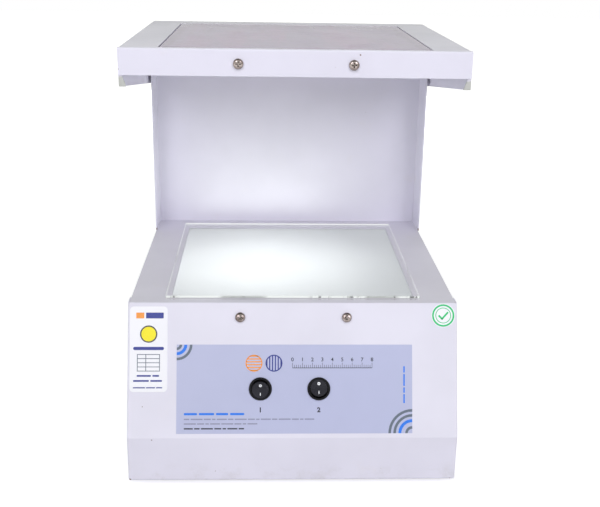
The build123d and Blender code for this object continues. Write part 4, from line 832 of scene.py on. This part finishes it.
class Print:
    """One layer of ink, drawn flat in metres."""

    def __init__(self):
        self.mesh = bmesh.new()

    def square(self, u, v, width, height):
        """Lay a bar round a middle and return its face."""
        place = Matrix.Translation((u, v, 0)) @ Matrix.Diagonal((width / 2, height / 2, 1, 1))
        made = bmesh.ops.create_grid(self.mesh, x_segments=1, y_segments=1, size=1.0, matrix=place)
        return made["verts"][0].link_faces[0]

    def rounded(self, u, v, width, height, radius):
        """Lay a bar with round corners and return its face."""
        face = self.square(u, v, width, height)
        corners = bmesh.ops.bevel(
            self.mesh, geom=list(face.verts), offset=radius, offset_type="OFFSET",
            segments=6, profile=0.5, affect="VERTICES", material=-1,
        )
        return max(corners["verts"][0].link_faces, key=lambda part: part.calc_area())

    def frame(self, u, v, width, height, radius, line):
        """Lay a rounded outline of a line width."""
        face = self.rounded(u, v, width, height, radius)
        bmesh.ops.inset_region(self.mesh, faces=[face], thickness=line, use_even_offset=True)
        bmesh.ops.delete(self.mesh, geom=[face], context="FACES_ONLY")

    def disc(self, u, v, radius, segments=40):
        """Lay a disc."""
        place = Matrix.Translation((u, v, 0))
        bmesh.ops.create_circle(self.mesh, cap_ends=True, radius=radius, segments=segments, matrix=place)

    def arc(self, u, v, inner, outer, start=0.0, angle=360.0):
        """Sweep a short edge round a centre."""
        direction = Vector((cos(radians(start)), sin(radians(start)), 0))
        centre = Vector((u, v, 0))
        ends = [self.mesh.verts.new(centre + direction * reach) for reach in (inner, outer)]
        edge = self.mesh.edges.new(ends)
        bmesh.ops.spin(
            self.mesh, geom=[*ends, edge], cent=centre, axis=(0, 0, 1), angle=radians(angle),
            steps=max(8, round(abs(angle) / 9)), use_merge=abs(angle) == 360.0, use_duplicate=False,
        )

    def numeral(self, text, u, v, height, boldness=0.0):
        """Lay a plain numeral round a middle. Boldness is added all round its strokes."""
        curve = bpy.data.curves.new("numeral", "FONT")
        curve.body = text
        curve.size = height / 0.72
        curve.offset = boldness
        curve.align_x = "CENTER"
        curve.align_y = "CENTER"
        holder = bpy.data.objects.new("numeral", curve)
        flat = bpy.data.meshes.new_from_object(holder)
        flat.transform(Matrix.Translation((u, v, 0)))
        self.mesh.from_mesh(flat)
        bpy.data.objects.remove(holder)
        bpy.data.curves.remove(curve)
        bpy.data.meshes.remove(flat)

    def bake(self, name, finish, slot, origin=fold, turn=slope_turn, body="root", lift=film_thickness):
        """Thicken the layer, carry it to its place, the slope as a rule, and make it a piece."""
        mesh = self.mesh
        bmesh.ops.remove_doubles(mesh, verts=mesh.verts, dist=1e-6)
        grown = bmesh.ops.extrude_face_region(mesh, geom=list(mesh.faces))
        raised = [part for part in grown["geom"] if isinstance(part, bmesh.types.BMVert)]
        bmesh.ops.translate(mesh, verts=raised, vec=(0, 0, ink_thickness))
        bmesh.ops.translate(mesh, verts=mesh.verts, vec=(0, 0, lift))
        bmesh.ops.transform(mesh, verts=mesh.verts, matrix=Matrix.Translation(origin) @ turn)
        bmesh.ops.recalc_face_normals(mesh, faces=mesh.faces)
        data = bpy.data.meshes.new(name)
        mesh.to_mesh(data)
        mesh.free()
        data.materials.append(finish.material)
        piece = bpy.data.objects.new(name, data)
        scene.collection.objects.link(piece)
        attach(piece, body)
        print(name, "faces:", len(data.polygons))
        return piece


def ink(name, tone, rough=0.42):
    """Make a printing ink, a little uneven where it is thin."""
    layer = Finish(name)
    thin = tuple(min(1.0, v * 1.25 + 0.03) for v in tone[:3]) + (1.0,)
    patches = layer.ramp(layer.blotches(0.0012, detail=5.0, roughness=0.7), 0.48, 0.75, 0.0, 0.7)
    layer.colour(layer.tint(patches, tone, thin))
    layer.rough(layer.ramp(layer.blotches(0.004), 0.3, 0.7, rough, rough + 0.1))
    layer.normal(layer.relief(layer.blotches(0.0004, detail=2.0), 0.000004, 0.5))
    return layer


black_ink = ink("black_ink", (0.030, 0.032, 0.050, 1.0))
slate_ink = ink("slate_ink", (0.120, 0.150, 0.190, 1.0))
grey_ink = ink("grey_ink", (0.270, 0.280, 0.400, 1.0))
blue_ink = ink("blue_ink", (0.020, 0.190, 0.780, 1.0))
navy_ink = ink("navy_ink", (0.035, 0.050, 0.260, 1.0))
orange_ink = ink("orange_ink", (0.900, 0.330, 0.060, 1.0))
yellow_ink = ink("yellow_ink", (0.930, 0.800, 0.020, 1.0))
green_ink = ink("green_ink", (0.010, 0.520, 0.160, 1.0))
white_ink = ink("white_ink", (0.860, 0.880, 0.900, 1.0), 0.5)

# %% [markdown]
# The big label's print: two hatched discs, one with upright and one with level lines, stand for the
# two crossed sheets; a ruler of eight centimetres runs beside them; plain numerals name the switches;
# rows of short dashes fill the places for small print; rings of growing size fill two corners.

# %% Print on the big label
label_left = label_low.x
label_right = label_high.x
label_foot = 0.0045
label_top_margin = 0.0418
label_head = slope_length - label_top_margin
print_left = label_left + 0.0075
most_dashes = 200


def dashes(layer, u, v, length, height, lengths, upright=False):
    """Lay a row of dashes, with a gap between them, until a length is full."""
    gap = height * 0.9
    done = 0.0
    for number in range(most_dashes):
        dash = min(lengths[number % len(lengths)], length - done)
        if dash < height:
            break
        middle = done + dash / 2
        if upright:
            layer.rounded(u, v + middle, height, dash, height * 0.3)
        else:
            layer.rounded(u + middle, v, dash, height, height * 0.3)
        done += dash + gap


word_lengths = (0.009, 0.0055, 0.012, 0.007, 0.0035, 0.010)
heading_lengths = (0.013, 0.015, 0.012, 0.016)
ruler_left = label_left + 0.1155
ruler_foot = label_head - 0.0232
ruler_length = 0.080
centimetres = 8
ticks_each = 5
long_tick = 0.0052
short_tick = 0.0030
tick_line = 0.00035
ruler_line = 0.0006
ruler_numeral = 0.0038
ruler_numeral_rise = 0.0082
switch_numeral = 0.0046
switch_numeral_v = label_foot + 0.0233

black = Print()
for mark in range(centimetres * ticks_each + 1):
    tick = short_tick if mark % ticks_each else long_tick
    tick_u = ruler_left + mark * ruler_length / (centimetres * ticks_each)
    black.square(tick_u, ruler_foot + tick / 2, tick_line, tick)
black.square(ruler_left + ruler_length / 2, ruler_foot, ruler_length, ruler_line)
for number in range(centimetres + 1):
    number_u = ruler_left + number * ruler_length / centimetres
    black.numeral(str(number), number_u, ruler_foot + ruler_numeral_rise, ruler_numeral, 0.00008)
switch_marks = (("1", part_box("left_switch_housing")), ("2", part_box("right_switch_housing")))
for text, (low, high) in switch_marks:
    black.numeral(text, (low.x + high.x) / 2, switch_numeral_v, switch_numeral, 0.00028)
dashes(black, print_left, label_foot + 0.0050, 0.060, 0.0014, word_lengths)
black.bake("label_black_print", black_ink, "label_blue")

grey = Print()
dashes(grey, print_left, label_foot + 0.0143, 0.130, 0.0013, word_lengths[1:])
dashes(grey, print_left, label_foot + 0.0098, 0.075, 0.0013, word_lengths[2:])
grey.bake("label_grey_print", grey_ink, "label_blue")

blue_ring = 0.0030
blue = Print()
dashes(blue, print_left, label_foot + 0.0195, 0.060, 0.0022, heading_lengths)
dashes(blue, label_right - 0.0082, label_foot + 0.0300, 0.037, 0.0015, word_lengths, upright=True)
for u, v, start, reach in (
    (label_left, label_head, 270.0, 0.0075),
    (label_right, label_foot, 90.0, 0.0110),
):
    blue.arc(u, v, reach, reach + blue_ring, start, 90.0)
blue.bake("label_blue_print", blue_ink, "label_blue")

slate_ring = 0.0026
slate = Print()
for u, v, start, reaches in (
    (label_left, label_head, 270.0, (0.0028, 0.0130)),
    (label_right, label_foot, 90.0, (0.0045, 0.0165, 0.0215)),
):
    for reach in reaches:
        slate.arc(u, v, reach, reach + slate_ring, start, 90.0)
slate.bake("label_slate_print", slate_ink, "label_blue")

# %% [markdown]
# A hatched disc is a ring with bars across it. The bars are cut to the ring by their height: half a
# chord, from the circle's own formula.

# %% Hatched discs on the big label


def hatched_disc(layer, u, v, radius, line, count, upright):
    """Lay a ring and bars across it."""
    layer.arc(u, v, radius - line, radius)
    for bar in range(count):
        offset = (bar - (count - 1) / 2) * 2 * radius / count
        chord = 2 * (radius**2 - offset**2) ** 0.5 - line
        if upright:
            layer.square(u + offset, v, line, chord)
        else:
            layer.square(u, v + offset, chord, line)


disc_u = label_left + 0.0770
disc_v = label_head - 0.0185
disc_radius = 0.0085
disc_line = 0.0012
disc_bars = 6
disc_spacing = 0.0200

orange = Print()
hatched_disc(orange, disc_u, disc_v, disc_radius, disc_line, disc_bars, upright=False)
orange.bake("label_orange_print", orange_ink, "label_blue")
navy = Print()
hatched_disc(navy, disc_u + disc_spacing, disc_v, disc_radius, disc_line, disc_bars, upright=True)
navy.bake("label_navy_print", navy_ink, "label_blue")

# %% [markdown]
# The upright sticker is a blank record card: a rounded grey border, two colour bars, a yellow dot, a
# navy rule, an empty table and rows of dashes. It is drawn from its own foot, top and middle, and each
# colour is a layer of its own, as on a real press.

# %% Print on the upright sticker
card_low, card_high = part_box("plain_label")
card_middle = (card_low.x + card_high.x) / 2
card_top = slope_length - 0.0038
card_foot = 0.046
card_width = card_high.x - card_low.x
border_inset = 0.0012
border_width = card_width - 2 * border_inset
border_height = card_top - card_foot - 2 * border_inset
border_corner = 0.0034
border_line = 0.0011
table_v = card_foot + 0.0290
table_width = 0.0220
table_height = 0.0165
table_rows = 4
table_line = 0.0007

card_grey = Print()
card_grey.frame(
    card_middle, (card_top + card_foot) / 2, border_width, border_height, border_corner, border_line,
)
for row in range(table_rows + 1):
    row_v = table_v + (row / table_rows - 0.5) * table_height
    card_grey.square(card_middle, row_v, table_width, table_line)
for column in (-0.5, -0.12, 0.5):
    column_u = card_middle + column * table_width
    card_grey.square(column_u, table_v, table_line, table_height + table_line)
card_grey.bake("card_grey_print", slate_ink, "label_white")

bars_v = card_top - 0.0090
bar_height = 0.0058
bar_corner = 0.0004
card_navy = Print()
card_navy.rounded(card_middle, card_foot + 0.0432, 0.0305, 0.0032, 0.0015)
card_navy.rounded(card_middle + 0.0060, bars_v, 0.0175, bar_height, bar_corner)
dashes(card_navy, card_middle - 0.0115, card_foot + 0.0160, 0.023, 0.0017, (0.014, 0.0065))
dashes(card_navy, card_middle - 0.0150, card_foot + 0.0110, 0.030, 0.0017, (0.0155, 0.0115))
dashes(card_navy, card_middle - 0.0152, card_foot + 0.0042, 0.031, 0.0011, (0.012, 0.009, 0.006))
card_navy.bake("card_navy_print", navy_ink, "label_white")

card_orange = Print()
card_orange.rounded(card_middle - 0.0085, bars_v, 0.0080, bar_height, bar_corner)
card_orange.bake("card_orange_print", orange_ink, "label_white")

dot_v = card_foot + 0.0575
dot_radius = 0.0073
dot_rim = 0.0086
card_black = Print()
card_black.arc(card_middle, dot_v, dot_radius, dot_rim)
card_black.bake("card_black_print", black_ink, "label_white")
card_yellow = Print()
card_yellow.disc(card_middle, dot_v, dot_radius)
card_yellow.bake("card_yellow_print", yellow_ink, "label_white")

# %% [markdown]
# The round sticker is the kind that says an instrument was tested: two green rings and a plain tick.
# The tick is two bars turned about one corner, each longer by half its own width so that they meet.

# %% Print on the round sticker
round_low, round_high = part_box("round_label")
round_u = (round_low.x + round_high.x) / 2
round_radius = (round_high.x - round_low.x) / 2
round_top_gap = 0.0004
round_v = slope_length - round_top_gap - round_radius
check_line = 0.0018
check_corner = Vector((round_u - 0.0012, round_v - 0.0034, 0))

green = Print()
green.arc(round_u, round_v, round_radius * 0.80, round_radius * 0.94)
green.arc(round_u, round_v, round_radius * 0.60, round_radius * 0.66)
for angle, length in ((135.0, 0.0040), (48.0, 0.0082)):
    direction = Vector((cos(radians(angle)), sin(radians(angle)), 0))
    middle = check_corner + direction * length / 2
    place = Matrix.Translation(middle) @ Matrix.Rotation(radians(angle), 4, "Z")
    place = place @ Matrix.Diagonal((length / 2 + check_line / 2, check_line / 2, 1, 1))
    bmesh.ops.create_grid(green.mesh, x_segments=1, y_segments=1, size=1.0, matrix=place)
green.bake("round_green_print", green_ink, "label_green")

# %% [markdown]
# The rockers carry a white ring above and a white bar below. A rocker's face is a shallow V, and at
# rest one half lies level with the panel while the other stands up by twice the V's angle. Each mark
# is drawn flat and laid on its own half, then rides with the rocker, so it tips when the switch does.

# %% Marks on the rockers
rocker_angle = radians(9.0)
rocker_face_rise = 0.0055
mark_reach = 0.0044
mark_lift = 0.00001
ring_inner = 0.0005
ring_outer = 0.0015
bar_width = 0.0008
bar_length = 0.0030
pivots = {joint["child"]: Vector(joint["pos_m"]) for joint in frame["joints"]}
for side, sense in (("left", 1), ("right", -1)):
    valley_up = -sense * rocker_face_rise * sin(rocker_angle)
    valley_out = rocker_face_rise * cos(rocker_angle)
    valley = pivots[side + "_rocker"] + up_slope * valley_up + out_of_slope * valley_out
    for half, hand in (("upper", 1), ("lower", -1)):
        tip = 2 * rocker_angle if hand == sense else 0.0
        along = up_slope * hand * cos(tip) + out_of_slope * sin(tip)
        away_from_face = across_slope.cross(along) * hand
        turn = Matrix((across_slope, along * hand, away_from_face)).transposed().to_4x4()
        mark = Print()
        if half == "upper":
            mark.arc(0, 0, ring_inner, ring_outer)
        else:
            mark.rounded(0, 0, bar_width, bar_length, bar_width / 4)
        mark.bake(
            side + "_rocker_" + half + "_mark", white_ink, "black_gloss_plastic",
            valley + along * mark_reach, turn, side + "_rocker", mark_lift,
        )

# %% [markdown]
# A piece that no finish was given to would show in plain grey. A list of such pieces, printed here, is
# quicker to read than the picture, and it should be empty.

# %% Check that every piece has a finish
bare = sorted(set(nodes) - set(finish_of))
print("pieces without a finish:", bare)
